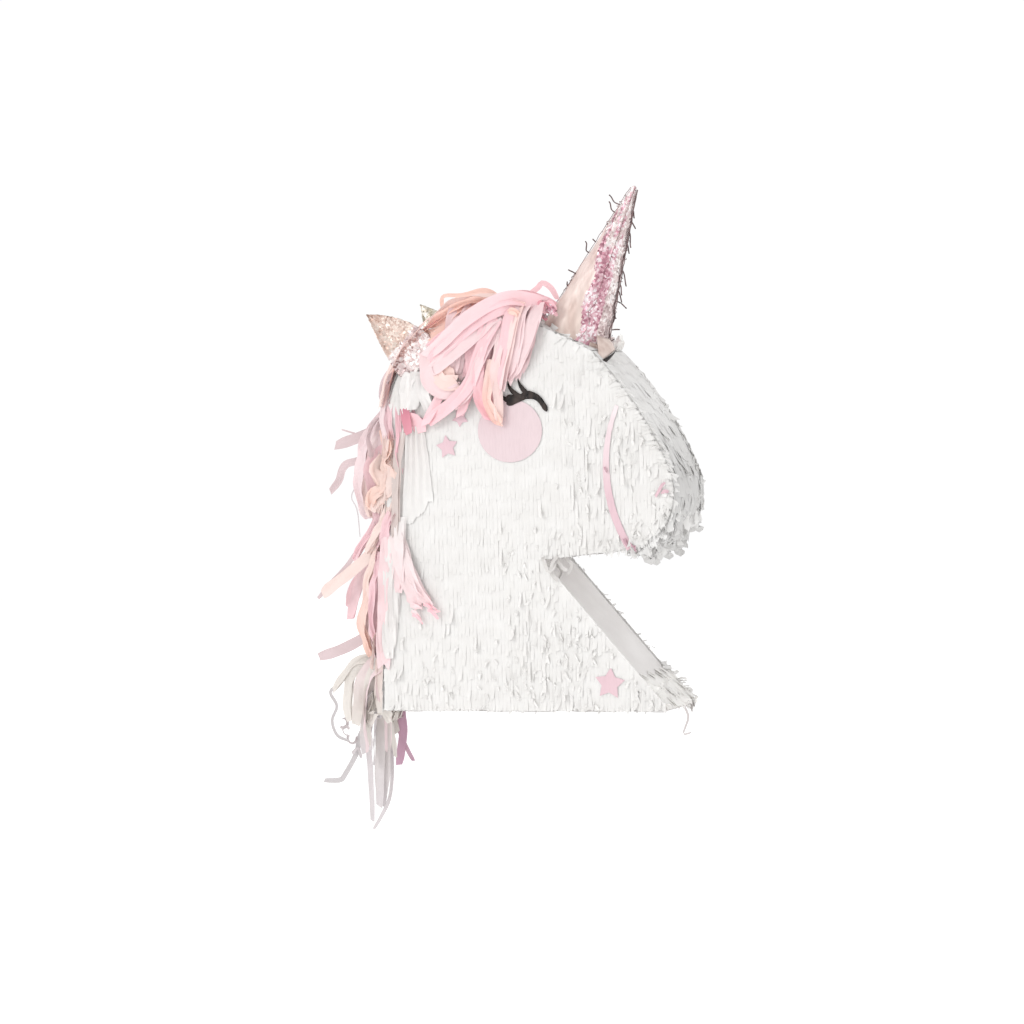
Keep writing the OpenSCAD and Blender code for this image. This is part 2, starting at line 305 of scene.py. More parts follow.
def glitter(name, stops):
    """Glitter film: each flake lies at its own angle, and its colour, from dark to near-white and brighter or
    darker in patches, is partly the film's own colour and partly painted glints and painted shade.
    """
    s = Shader(name)
    cells = s.node("TexVoronoi")
    cells.inputs["Scale"].default_value = FLAKES_PER_METRE
    s.link(s.place(), cells.inputs["Vector"])
    pick = s.node("SeparateColor")
    s.link(cells.outputs["Color"], pick.inputs["Color"])
    patch = s.node("Math", operation="MULTIPLY_ADD")
    s.link(s.noise(75, 3), patch.inputs[0])
    patch.inputs[1].default_value = 1.6
    patch.inputs[2].default_value = -0.55
    blend = s.node("Math", operation="MULTIPLY_ADD")
    s.link(pick.outputs[0], blend.inputs[0])
    blend.inputs[1].default_value = 0.62
    s.link(patch.outputs[0], blend.inputs[2])
    # Dark and near-white flakes: painted shade and painted glints, over the film's own colour.
    s.colour(s.ramp(blend.outputs[0], stops))
    centred = s.node("VectorMath", operation="SUBTRACT")
    s.link(cells.outputs["Color"], centred.inputs[0])
    centred.inputs[1].default_value = (0.5, 0.5, 0.5)
    tilted = s.node("VectorMath", operation="SCALE")
    tilted.inputs["Scale"].default_value = FLAKE_TILT
    s.link(centred.outputs[0], tilted.inputs[0])
    added = s.node("VectorMath", operation="ADD")
    s.link(s.node("NewGeometry").outputs["Normal"], added.inputs[0])
    s.link(tilted.outputs[0], added.inputs[1])
    unit = s.node("VectorMath", operation="NORMALIZE")
    s.link(added.outputs[0], unit.inputs[0])
    s.link(unit.outputs[0], s.main.inputs["Normal"])
    s.set("Metallic", 0.55)
    s.set("Roughness", 0.34)
    return s.material


def satin(name, low, high, crease_shade):
    """Satin foil paper: beige low down and pinker above, with long soft creases painted darker: painted shade
    in the creases.
    """
    s = Shader(name)
    height = s.node("SeparateXYZ")
    s.link(s.place(), height.inputs[0])
    level = s.node("MapRange")
    level.inputs["From Min"].default_value = -0.005
    level.inputs["From Max"].default_value = 0.06
    s.link(height.outputs["Z"], level.inputs["Value"])
    body = s.mix(level.outputs[0], low, high)
    # Darker streaks along the creases: painted shade.
    crease = s.ramp(s.noise(85, 5, (1, 1, 0.16)), [(0.36, crease_shade), (0.58, (1, 1, 1))])
    s.colour(s.multiply(body, crease))
    s.set("Metallic", 0.12)
    s.set("Roughness", 0.42)
    s.bump(s.noise(120, 4, (1, 1, 0.3)), 0.45, 0.002)
    return s.material


def dark_film(name, colour, streak, roughness):
    """Dark plastic film: streaks along it and a thin gloss, under each strand's own tint."""
    s = Shader(name)
    tint = s.tint()
    streaks = s.ramp(s.noise(220, 3, (1, 1, 0.4)), [(0.38, colour), (0.72, streak)])
    s.colour(s.multiply(streaks, tint))
    s.set("Roughness", roughness)
    s.set("Specular IOR Level", 0.25)
    s.bump(s.noise(500, 3), 0.2, 0.0004)
    return s.material


# ---- Meshes made of many strips

PLAIN = (1, 1, 1)
RIBBON_STEP = 3.5


class Sheaf:
    """Gathers strips of paper into one mesh."""

    def __init__(self):
        self.points = []
        self.faces = []
        self.tints = []
        self.kinds = []
        self.lengths = []
        self.area = 0

    def add_rings(self, rings, tint):
        """tint is one colour, or one for each ring."""
        start = len(self.points)
        for i, ring in enumerate(rings):
            self.points.extend(ring)
            self.tints.extend([tint[i] if isinstance(tint, list) else tint] * len(ring))
        return start

    def strip(self, rings, tint, kind=0):
        """rings are rows of points across the strip, from its root to its tip."""
        start = self.add_rings(rings, tint)
        across = len(rings[0])
        for i in range(len(rings) - 1):
            for j in range(across - 1):
                a = start + i * across + j
                self.faces.append((a, a + 1, a + 1 + across, a + across))
                self.kinds.append(kind)
                p, q, r = self.points[a], self.points[a + 1], self.points[a + across]
                self.area += (q - p).cross(r - p).length

    def loop(self, rings, tint):
        """Like strip, but each ring closes on itself, as round a tube."""
        start = self.add_rings(rings, tint)
        across = len(rings[0])
        for i in range(len(rings) - 1):
            for j in range(across):
                a, b = start + i * across + j, start + i * across + (j + 1) % across
                self.faces.append((a, b, b + across, a + across))
                self.kinds.append(0)
        return start

    def cap(self, start, count, centre, tint):
        """Closes the ring of count points from start with triangles that meet at a centre."""
        middle = self.add_rings([[centre]], tint)
        for j in range(count):
            self.faces.append((start + (j + 1) % count, start + j, middle))
            self.kinds.append(0)

    def piece(self, name, materials, body, replaced, thick=0.0):
        mesh = bpy.data.meshes.new(name)
        mesh.from_pydata([p * MM for p in self.points], [], self.faces)
        for material in materials:
            mesh.materials.append(material)
        mesh.polygons.foreach_set("material_index", self.kinds)
        mesh.polygons.foreach_set("use_smooth", [True] * len(self.faces))
        layer = mesh.attributes.new("tint", "FLOAT_COLOR", "POINT")
        layer.data.foreach_set("color", [c for tint in self.tints for c in (*tint, 1.0)])
        mesh.update()
        made = bpy.data.objects.new(name, mesh)
        bpy.context.scene.collection.objects.link(made)
        if thick:
            solid = made.modifiers.new("thickness", "SOLIDIFY")
            solid.thickness = thick * MM
            solid.offset = 0
        if body:
            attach(made, body)
        if replaced:
            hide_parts(*replaced)
        return made

    def sheet_piece(self, name, materials, body, node):
        """The strips as one piece; their middle length is worked out, but nothing uses it."""
        made = self.piece(name, materials, body, [node])
        middle = sum(self.lengths) / len(self.lengths)


def shade(tint, rng, spread=0.03):
    """A tint a little lighter or darker, from one strip to the next."""
    k = 1 + rng.uniform(-spread, spread)
    return tuple(min(1.0, c * k) for c in tint)


def faded(first, last, t):
    """The tint a share t of the way from first to last."""
    return tuple(a + (b - a) * t for a, b in zip(first, last))


def turns(rng, first, last, share=1):
    """A streamer's turn at each end, in degrees: up to a share of first, and up to last, either way."""
    return rng.uniform(-first, first) * share, rng.uniform(-last, last)


def smooth(points, count):
    """count points along a smooth curve through the given ones."""
    pts = [Vector(p) for p in points]
    pts = [pts[0] * 2 - pts[1], *pts, pts[-1] * 2 - pts[-2]]
    spans = len(pts) - 3
    out = []
    for k in range(count):
        at = k / (count - 1) * spans
        i = min(int(at), spans - 1)
        t = at - i
        a, b, c, d = pts[i : i + 4]
        slope, bend, turn = c - a, 2 * a - 5 * b + 4 * c - d, 3 * b - a - 3 * c + d
        out.append(0.5 * (2 * b + slope * t + bend * t * t + turn * t**3))
    return out


def tangent(points, i):
    return (points[min(i + 1, len(points) - 1)] - points[max(i - 1, 0)]).normalized()


def ribbon(sheaf, rng, route, width, tint, face, twist, crumple, tip=0.0, kind=0, across=6,
           wave=0.0, fade=None):
    """A paper streamer along a route. face is the way its flat side looks, twist its turn in degrees at each
    end, crumple how creased it is, tip how slanted its cut end is, kind which material it has, across how
    many faces wide it is, wave how far it wanders, and fade its tint at the tip."""
    length = sum((Vector(b) - Vector(a)).length for a, b in zip(route, route[1:]))
    count = max(8, int(length / RIBBON_STEP))
    spine = smooth(route, count)
    seed = Vector((rng.uniform(0, 99), rng.uniform(0, 99), rng.uniform(0, 99)))
    tint = shade(tint, rng)
    slant = rng.uniform(-1, 1) * tip
    rings = []
    tints = []
    side = None
    for i, p in enumerate(spine):
        t = i / (count - 1)
        along = tangent(spine, i)
        flat = Vector(face).cross(along)
        if flat.length < 0.2 and side is not None:
            flat = side
        flat.normalize()
        if side is not None and flat.dot(side) < 0:
            flat.negate()
        side = flat.copy()
        restless = (14 * crumple + 9 * wave) * noise.noise(seed + Vector((t * length / 30, 0, 0)))
        turn = twist[0] + (twist[1] - twist[0]) * t + restless
        flat = Matrix.Rotation(math.radians(turn), 3, along) @ flat
        out = flat.cross(along)
        taper = 1 - 0.3 * max(0, t * 6 - 5) ** 2
        w = width * taper * (1 + 0.1 * crumple * noise.noise(seed + Vector((0, t * 6, 0))))
        at = seed + Vector((3, t * length / 16, 0))
        sway = side * noise.noise(at) + along.cross(side) * 0.7 * noise.noise(at + Vector((40, 0, 0)))
        p = p + sway * wave * min(1, 3 * t)
        ring = []
        for j in range(across + 1):
            u = 2 * j / across - 1
            fold = 0.085 * width * crumple * noise.noise(seed + Vector((u * 1.6, t * length / 24, 0)))
            crease = 0.35 * crumple * noise.noise(seed + Vector((u * 2.6, t * length / 7, 5)))
            cup = 0.045 * width * (1 - u * u)
            end = slant * u * width * 0.5 * max(0, t * 4 - 3)
            ring.append(p + flat * (u * w / 2) + out * (fold + crease + cup) + along * end)
        rings.append(ring)
        tints.append(faded(tint, fade or tint, t))
    sheaf.strip(rings, tints, kind)
    sheaf.lengths.append(length)


def thread(sheaf, route, radius, tint, sides=5, tapered=False):
    """A thin round strand along a route."""
    count = max(5, len(route) * 3)
    spine = smooth(route, count)
    spokes = [2 * math.pi * j / sides for j in range(sides)]
    rings = []
    for i, p in enumerate(spine):
        along = tangent(spine, i)
        a = along.orthogonal().normalized()
        b = along.cross(a)
        r = radius * (1 - 0.6 * i / (count - 1) if tapered else 1)
        rings.append([p + (a * math.cos(k) + b * math.sin(k)) * r for k in spokes])
    sheaf.loop(rings, tint)


# ---- The head's outline, read from the near panel


def read_outline(node):
    """A flat panel's outline as (x, z) points in millimetres, counter-clockwise from the heel."""
    low, _ = node_box(node)
    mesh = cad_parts[node].data
    spots = [tuple(round(c / MM, 3) for c in v.co) for v in mesh.vertices]
    uses = {}
    for face in mesh.polygons:
        ring = [spots[i] for i in face.vertices]
        if all(abs(p[1] - low.y) < 0.01 for p in ring):
            for a, b in zip(ring, ring[1:] + ring[:1]):
                key = frozenset(((a[0], a[2]), (b[0], b[2])))
                uses[key] = uses.get(key, 0) + 1
    near = {}
    for key, count in uses.items():
        if count == 1 and len(key) == 2:
            a, b = key
            near.setdefault(a, []).append(b)
            near.setdefault(b, []).append(a)
    start = min(near, key=lambda p: (round(p[1]), p[0]))
    route = [start, max(near[start], key=lambda p: p[0])]
    while True:
        ahead = [p for p in near[route[-1]] if p != route[-2]]
        if not ahead or ahead[0] == start:
            return route
        route.append(ahead[0])


OUTLINE = read_outline("near_panel")
PANEL_Y = -node_box("near_panel")[0].y
SKIN_Y = -node_box("near_fringe")[0].y
BASE_Z = node_box("base_strip")[0].z


def stretch(first, last):
    """The outline's points from the one nearest first to the one nearest last."""

    def nearest(spot):
        return min(range(len(OUTLINE)), key=lambda i: math.dist(OUTLINE[i], spot))

    i, j = nearest(first), nearest(last)
    if j <= i:
        j += len(OUTLINE)
    return [OUTLINE[k % len(OUTLINE)] for k in range(i, j + 1)]


HEEL = (-135, BASE_Z)
TOE = (162, BASE_Z)
THROAT = (34, -242)
JAW = (127, -233)
SEAT_FRONT = (96, -41)
SEAT_BACK = (14, 0)
NAPE = (node_box("back_strip")[1].x, node_box("back_strip")[1].z)
BACK_LINE = stretch(SEAT_BACK, HEEL)


def spans_at(x):
    """The stretches of height inside the outline at x, as (highest, lowest)."""
    cuts = []
    for (x0, z0), (x1, z1) in zip(OUTLINE, OUTLINE[1:] + OUTLINE[:1]):
        if (x0 <= x) != (x1 <= x):
            cuts.append(z0 + (z1 - z0) * (x - x0) / (x1 - x0))
    cuts.sort(reverse=True)
    return list(zip(cuts[::2], cuts[1::2]))


# ---- Where the paper cut-outs lie, as (x, z)

CHEEK = (9.5, -114)
CHEEK_SIZE = (34, 31)
EYE = (24, -106)
MUZZLE = (256, -154)
MUZZLE_R = 147
STARS = (((-58, -128), 12, 8), ((-43, -100), 9, 30), ((-95, -101), 13, -10), ((106, -363), 16, -6))
NOSTRIL = (165, -176)
PRESSED = [(CHEEK, 38), (EYE, 36), *((spot, r + 5) for spot, r, _ in STARS)]


def pressed_spots(x, z):
    """True where a paper cut-out lies on the fringe and holds it down."""
    for (cx, cz), r in PRESSED:
        if math.hypot(x - cx, z - cz) < r:
            return True
    return False


def near_muzzle(x, z):
    return abs(math.hypot(x - MUZZLE[0], z - MUZZLE[1]) - MUZZLE_R) < 5


# ---- Fringed tissue

STRIP_W = 4.0
ROW_PITCH = 15
ROW_LENGTH = 33
STRIP_H = 2.7
WHITE = (0.875, 0.867, 0.855)
GREY_WHITE = (0.86, 0.855, 0.847)
# A lighter copy of the white tissue: painted light on the toe and on the tufts round the horn's foot.
PAINTED_LIGHT_WHITE = (1.0, 0.985, 0.965)
EDGE_LINE_GREY = (0.62, 0.60, 0.59)
# Grey for the throat's white curls: painted shade in the corner under the jaw.
THROAT_SHADE_GREY = (0.70, 0.68, 0.665)


def trim_at(spans, u, v_start, v_end):
    """The stretch at u that goes with the one beside it."""
    near = [s for s in spans(u) if s[0] < v_end and s[1] > v_start]
    if not near:
        return v_start, v_end
    best = min(near, key=lambda s: abs(s[0] - v_start) + abs(s[1] - v_end))
    return tuple(a if abs(a - b) < 9 else b for a, b in zip(best, (v_start, v_end)))


def fringe(sheaf, rng, place, u_low, u_high, spans, wild, tint=WHITE, over=1.0, early=lambda u, v: 0,
           droop=None, first=0.0, width=STRIP_W, rise=0.6, sink=0.0):
    """Rows of cut tissue strips over a wall. place(u, v, h) is the point u across, v downhill and h out from
    the wall, spans(u) gives the stretches of v to cover, and wild(u,
                                                                   v) how ruffled the tissue is there, from 0
    up. over and early(u, v) are how far strips may pass the end and the start of a stretch. tint is a colour,
    or a function of v. droop(p, t) moves a point at a share t of a strip, and first is where the first row
    starts. rise is how much a strip lifts towards its tip, and sink how far from a stretch's start the tissue
    lies close to the wall."""
    u = u_low
    while u < u_high - 1:
        w = width * rng.uniform(0.8, 1.2)
        middle = u + w / 2
        for v_start, v_end in spans(middle):
            cuts = [trim_at(spans, middle + s * w / 2, v_start, v_end) for s in (-1, 0, 1)]
            row = math.floor((v_start - first - ROW_LENGTH) / ROW_PITCH)
            while first + row * ROW_PITCH < v_end - 2:
                wave = 2.0 * noise.noise(Vector((middle * 0.02, row * 3.7, 0)))
                root = first + row * ROW_PITCH + wave + rng.uniform(-2.5, 2.5)
                tip = root + ROW_LENGTH * rng.uniform(0.85, 1.15)
                ruffle = wild(middle, v_start if root < v_start else root + ROW_PITCH)
                row += 1
                ends = []
                for low, high in cuts:
                    top = max(root, low - early(middle, low) * rng.uniform(0.5, 1.1))
                    ends.append((top, max(top + 0.5, min(tip, high + over * rng.uniform(0.0, 1.1)))))
                if ends[1][1] - ends[1][0] > 4.5:
                    dye = shade(tint(root) if callable(tint) else tint, rng, 0.012)
                    rings = fringe_strip(rng, place, middle, w, root, tip, ends, ruffle, droop, rise,
                                         v_start, sink)
                    sheaf.strip(rings, dye)
        u += w


def fringe_strip(rng, place, u, w, root, tip, ends, ruffle, droop, rise, v_start, sink):
    """One cut strip's rows of points. ends are the start and end of its left edge, middle and right edge."""
    luck = rng.random()
    curl, turn, sway, crown = rng.uniform(0, 0.3), rng.uniform(-0.13, 0.13), rng.uniform(-0.5, 0.5), 0.18
    if luck < 0.30 * ruffle:
        curl, turn, sway, crown = rng.uniform(0.5, 1.5), rng.uniform(-0.8, 0.8), rng.uniform(-1.5, 1.5), 0.4
    if luck < 0.09 * ruffle:
        curl, turn, sway = rng.uniform(2.5, 5.5), rng.uniform(-2.2, 2.2), rng.uniform(-3.5, 3.5)
    if ruffle <= 0:
        curl, turn, sway, crown = 0, turn * 0.4, sway * 0.4, 0.08
    steps = 6
    slant = rng.uniform(-1, 1)
    narrow = rng.uniform(0, 0.25)
    rings = []
    for i in range(steps + 1):
        k = max(0, (i / steps - 0.5) / 0.5)
        half = w * 0.5 * (1.03 - narrow * k * k)
        ring = []
        for side, (top, end) in zip((-1, 0, 1), ends):
            v = top + (end - top) * i / steps
            t = max(0, min(1, (v - root) / (tip - root)))
            h = STRIP_H + rise * t + curl * k * k
            if sink:
                h *= min(1, 0.1 + (v - v_start) / sink)
            cut = slant * side * (1.0 if i == steps else 0)
            lift = side * turn * (0.3 + k) + (crown if side == 0 else 0)
            p = place(u + side * half + sway * k * k, v - curl * 0.4 * k * k + cut, max(0.3, h + lift))
            ring.append(droop(p, t) if droop else p)
        rings.append(ring)
    return rings


def edge_place(points, backwards):
    """A wall along a stretch of the outline: u is Y across it, v the way along it and h out from it.
    backwards says that the stretch runs against the outline's own way round."""
    ways = [0]
    for a, b in zip(points, points[1:]):
        ways.append(ways[-1] + math.dist(a, b))
    normals = []
    for i in range(len(points)):
        a, b = points[max(0, i - 1)], points[min(len(points) - 1, i + 1)]
        d = Vector((b[0] - a[0], 0, b[1] - a[1])).normalized() * (-1 if backwards else 1)
        normals.append(Vector((d.z, 0, -d.x)))

    def place(u, v, h):
        i = 0
        while i < len(ways) - 2 and ways[i + 1] < v:
            i += 1
        t = (v - ways[i]) / (ways[i + 1] - ways[i])
        (x0, z0), (x1, z1) = points[i], points[i + 1]
        spot = Vector((x0, 0, z0)).lerp(Vector((x1, 0, z1)), t)
        n = normals[i].lerp(normals[i + 1], min(1, max(0, t))).normalized()
        return spot + n * h + Vector((0, u, 0))

    return place, ways[-1]


def add_lining(sheaf, place, v_low, v_high, middle=True):
    """Crinkled tissue under an edge's strips, turned down over both corners; not middle beside a hole."""
    steps = max(4, int((v_high - v_low) / 4))
    left = [(1, -4), (1, 0.2), (0.985, 2.0), (0.95, 2.5)]
    right = [(-share, h) for share, h in left]
    if middle:
        flat = [(0.95 - k / 12 * 1.9, 2.5) for k in range(1, 12)]
        sections = [left + flat + right[::-1]]
    else:
        sections = [left + [(0.35, 2.5)], right + [(-0.35, 2.5)]]
    for section in sections:
        rows = []
        for i in range(steps + 1):
            v = v_low + (v_high - v_low) * i / steps
            row = []
            for share, h in section:
                u = share * (PANEL_Y + STRIP_H - 0.4)
                crinkle = 0.5 * noise.noise(Vector((u * 0.3, v * 0.2, 6)))
                row.append(place(u, v, h + crinkle if h > 0 else h))
            rows.append(row)
        sheaf.strip(rows, GREY_WHITE)


# ---- Tissue on the two sides and the filling flap

WINDOW_LOW, WINDOW_HIGH = node_box("fill_flap")
WINDOW_GAP = 2
FOLD_ROOM = 9
THUMB_R = 11
CHEST_RISE = 5
BASE_TOP_V = 46
SEAT_LAP = 4.0
SIDE_LAP = 1.6
SIDE_CURLS = 190


def roughness(x, z):
    """How rough a side's tissue has become: calm behind the cheek, rougher at the snout, throat and base."""
    snout = max(0, min(2.4, (x - 40) / 38))
    base = max(0, (-280 - z) / 55)
    throat = 1.2 if z < -205 and x > 0 else 0
    return 0.14 + snout + base + throat


def side_ruffle(x, z):
    """How ruffled the strips are at a place on a side, in patches, and not at all under the cut-outs."""
    if pressed_spots(x, z) or pressed_spots(x, z - ROW_PITCH) or near_muzzle(x, z):
        return 0
    patch = max(0, noise.noise(Vector((x * 0.02, z * 0.02, 3.1))) + 0.15)
    return roughness(x, z) * (0.35 + 1.5 * patch)


def side_place(side):
    def place(u, v, h):
        return Vector((u, side * (PANEL_Y + h), -v))

    return place


def side_spans(x):
    return [(-high, -low) for high, low in spans_at(x)]


def near_spans(x):
    """The near side's stretches; in front of the throat they lap past the chest's edge."""
    found = side_spans(x)
    if x > THROAT[0] and len(found) > 1:
        found[-1] = (found[-1][0] - CHEST_RISE, found[-1][1])
    return found


def far_spans(x):
    """The far side's stretches, less the filling hole and the fold above it."""
    found = side_spans(x)
    if not WINDOW_LOW.x - WINDOW_GAP < x < WINDOW_HIGH.x + WINDOW_GAP:
        return found
    top, bottom = -WINDOW_HIGH.z - FOLD_ROOM, -WINDOW_LOW.z + WINDOW_GAP
    cut = []
    for start, end in found:
        if start < top < end:
            cut.append((start, min(end, top - 1.5)))
            cut.append((max(start, bottom), end))
        else:
            cut.append((start, end))
    return cut


def flap_spans(x):
    """The filling flap's stretch, short of its fold and round its thumb notch."""
    notch = math.sqrt(max(0, THUMB_R**2 - (x - (WINDOW_LOW.x + WINDOW_HIGH.x) / 2) ** 2))
    return [(-WINDOW_HIGH.z + FOLD_ROOM - 1, -WINDOW_LOW.z - notch - 0.8)]


def side_lap(x, v):
    """How far strips pass the start of a stretch: further along the brow, to close its corner."""
    return SEAT_LAP if v < BASE_TOP_V and x > SEAT_BACK[0] - 6 else SIDE_LAP


def make_side_fringes(material):
    low, high = OUTLINE[0][0], max(p[0] for p in OUTLINE)
    for word, side, spans, seed in (("near", -1, near_spans, 11), ("far", 1, far_spans, 12)):
        rng = random.Random(seed)
        sheaf = Sheaf()
        fringe(sheaf, rng, side_place(side), low, high, spans, lambda x, v: side_ruffle(x, -v), over=0.35,
               early=side_lap)
        add_side_tufts(sheaf, rng, side)
        add_side_curls(sheaf, rng, side, spans)
        add_corner_laps(sheaf, rng, side)
        sheaf.piece(word + "_fringe_rows", [material], SHELL, [word + "_fringe"])
    rng = random.Random(13)
    sheaf = Sheaf()
    fringe(sheaf, rng, side_place(1), WINDOW_LOW.x + 0.8, WINDOW_HIGH.x - 0.8, flap_spans, lambda x, v: 0.3,
           over=-0.5, first=-WINDOW_HIGH.z)
    sheaf.piece("flap_fringe_rows", [material], FLAP, ["flap_fringe"])


def add_side_tufts(sheaf, rng, side):
    """Loose strips that stick out past the side's edges."""
    y = side * (PANEL_Y + 2.6)
    for (x0, z0), (x1, z1), count, reach in (
        (THROAT, TOE, 16, 6),
        (JAW, (70, -238), 10, 3),
        (SEAT_FRONT, (150, -110), 6, 2.5),
        ((150, -110), (172, -165), 6, 4),
        ((150, BASE_Z), (-130, BASE_Z), 22, 1.8),
        ((160, -223), (104, -233), 30, 9),
    ):
        for k in range(count):
            t = (k + rng.uniform(0.0, 1.0)) / count
            root = Vector((x0 + (x1 - x0) * t, y + side * rng.uniform(-1, 1), z0 + (z1 - z0) * t))
            level = abs(z1 - z0) < 12
            out = Vector((0, 0, -1)) if level else Vector((abs(z1 - z0), 0, x1 - x0)).normalized()
            inner = root - out * 7
            bend = Vector((rng.uniform(-2, 2), side * rng.uniform(0, 2.0), -rng.uniform(0, 2)))
            end = root + out * rng.uniform(0.5, reach) + bend
            ribbon(sheaf, rng, [inner, root, end], rng.uniform(1.4, 3.4), shade(GREY_WHITE, rng),
                   (0, side, 0), (0, rng.uniform(-60, 60)), 0.5, 0.8, across=2)


def add_side_curls(sheaf, rng, side, spans):
    """Short scraps that have sprung off the side's tissue where it is rough."""
    laid = 0
    while laid < SIDE_CURLS:
        x, z = rng.uniform(-120, 172), rng.uniform(-384, -45)
        inside = any(start + 8 < -z < end - 6 for start, end in spans(x))
        if not inside or pressed_spots(x, z) or pressed_spots(x, z - 8) or near_muzzle(x, z - 3):
            continue
        if roughness(x, z) < rng.uniform(0.3, 3.6):
            continue
        laid += 1
        y = side * (PANEL_Y + STRIP_H + 0.5)
        dx, drop = rng.uniform(-5, 5), rng.uniform(3, 9)
        off = side * rng.uniform(1.0, 2.8)
        end = (x + dx, y + off * rng.uniform(0.1, 0.8), z - drop)
        route = [(x, y, z), (x + dx * 0.5, y + off, z - drop * 0.4), end]
        ribbon(sheaf, rng, route, rng.uniform(1.6, 3.6), shade(WHITE, rng), (0, side, 0), turns(rng, 40, 60),
               1.0, 0.9, across=2)


def add_corner_laps(sheaf, rng, side):
    """Strip ends bent from a side over the snout's and the seat's corners, on to the tissue across them."""
    for points, count in ((stretch(JAW, SEAT_FRONT)[::-1], 52), (stretch(SEAT_FRONT, SEAT_BACK)[::-1], 9)):
        place, length = edge_place(points, True)
        for k in range(count):
            v = (length - 20) * (k + rng.uniform(-1.2, 2.2)) / count
            if not 2 < v < length - 6:
                continue
            slip = rng.uniform(2, 10)
            lap = rng.uniform(1, 14) * rng.uniform(0.4, 1)
            rough = min(1.5, v / 120)
            start = rng.uniform(3, 9)
            route = [place(side * (PANEL_Y + across), v + slip * share, out)
                     for across, share, out in ((3.0, 0, -start), (3.8, 0.4, -1.2), (3.0, 0.7, 2.4))]
            route.append(place(side * (PANEL_Y - lap), v + slip + rng.uniform(0, 3),
                               3.1 + rng.uniform(0, 2.0) * rough))
            n = place(0, v, 1) - place(0, v, 0)
            ribbon(sheaf, rng, route, rng.uniform(2.2, 6), shade(WHITE, rng), n * 0.7 + Vector((0, side, 0)),
                   (0, rng.uniform(-25, 25) * rough), 0.4, 0.9, across=2)
    # Thin grey strands along the base and the jaw
    y = side * (PANEL_Y + 1.4)
    for first, last, radius in ((HEEL, TOE, 0.55), (THROAT, JAW, 0.45)):
        route = []
        for k in range(25):
            x, z = (a + (b - a) * k / 24 for a, b in zip(first, last))
            route.append((x + 1, y + side * rng.uniform(0, 1.2), z + rng.uniform(-0.8, 0.2)))
        thread(sheaf, route, radius, EDGE_LINE_GREY, 4)


# ---- Tissue round the edge

EDGE_HALF = PANEL_Y + STRIP_H + 0.5
ALL_ALONG = (0, 999)
HOLE_ROOM = 9
HORN_ROOM = 2.5
TOE_REACH = 44


def chin_droop(p, t):
    """Strips on the underside hang away from it."""
    under = max(0, min(1, (-185 - p.z) / 40))
    return p + Vector((0, 0, -3 * under * t * t))


def scraps(sheaf, rng, place, v_low, v_high, count, u_of, reach, width=(1.8, 3.4)):
    """Loose ends that stand off an edge's tissue."""
    for _ in range(count):
        u, v = u_of(), rng.uniform(v_low, v_high)
        root = place(u, v, 1.2)
        tip = place(u + rng.uniform(-2, 3), v + rng.uniform(2, 8), rng.uniform(reach * 0.4, reach))
        middle = (root + tip) / 2 + Vector((0, 0, rng.uniform(-1.5, 1.5)))
        ribbon(sheaf, rng, [root, middle, tip], rng.uniform(*width), GREY_WHITE, (1, 0, 0.2),
               (0, rng.uniform(-90, 90)), 0.8, 0.8, across=2)


def edge_fringe(name, points, seed, wild, material, backwards=True, spans=None, extra=None, tint=GREY_WHITE,
                lining=(0, 0), hole_end=0, early=0.0, **strips):
    """One wall of the edge: its rows of tissue, a lining of crinkled tissue under them from lining[0] to
    lining[1], a lining beside the hole as far as hole_end, and what extra adds."""
    rng = random.Random(seed)
    sheaf = Sheaf()
    place, length = edge_place(points, backwards)
    fringe(sheaf, rng, place, -EDGE_HALF, EDGE_HALF, spans or (lambda u: [(0, length)]), wild, tint, 2.0,
           lambda u, v: early if v < 1 else 0, **strips)
    if lining[1]:
        add_lining(sheaf, place, lining[0], min(length, lining[1]))
    if hole_end:
        add_lining(sheaf, place, 0, hole_end, False)
    if extra:
        extra(sheaf, rng, place, length)
    sheaf.piece(name + "_fringe_rows", [material], SHELL, [name + "_fringe"])


def snout_painted_light_shade(v):
    """The snout's tissue is painted a little lighter at the brow and darker towards the chin: painted light
    and painted shade.
    """
    k = 1.06 - 0.27 * max(0, min(1, (v - 50) / 90))
    return tuple(c * k for c in GREY_WHITE)


def snout_extra(sheaf, rng, place, length):
    """Loose ends along the snout, and the ragged ribbons that hang from the chin."""
    scraps(sheaf, rng, place, 8, length - 60, 34,
           lambda: rng.choice((-1, 1, 1)) * rng.uniform(EDGE_HALF - 12, EDGE_HALF), 5)
    scraps(sheaf, rng, place, length - 110, length - 30, 34, lambda: rng.uniform(-EDGE_HALF, EDGE_HALF), 7)
    for k in range(56):
        spot = place(rng.uniform(-EDGE_HALF, EDGE_HALF), length - rng.uniform(2, 66), 1)
        drop = max(3, rng.uniform(4, 15) * (0.35 + 0.65 * min(1, (spot.x - 108) / 25)))
        lean = rng.uniform(-2, 3)
        route = [spot + Vector(step) for step in ((0, 0, 3), (lean, -1, -drop * 0.6), (lean + 2, 0, -drop))]
        if k % 4 == 0:
            route.append(spot + Vector((lean + rng.uniform(3, 6), rng.uniform(0, 3), -drop * 0.8)))
        # The chin ribbons take the snout's painted shade.
        ribbon(sheaf, rng, route, rng.uniform(6, 13), snout_painted_light_shade(55 if k % 2 else 110), (0.6, -1, 0),
               (0, rng.uniform(-50, 50)), 2.4, 0.5, across=4)


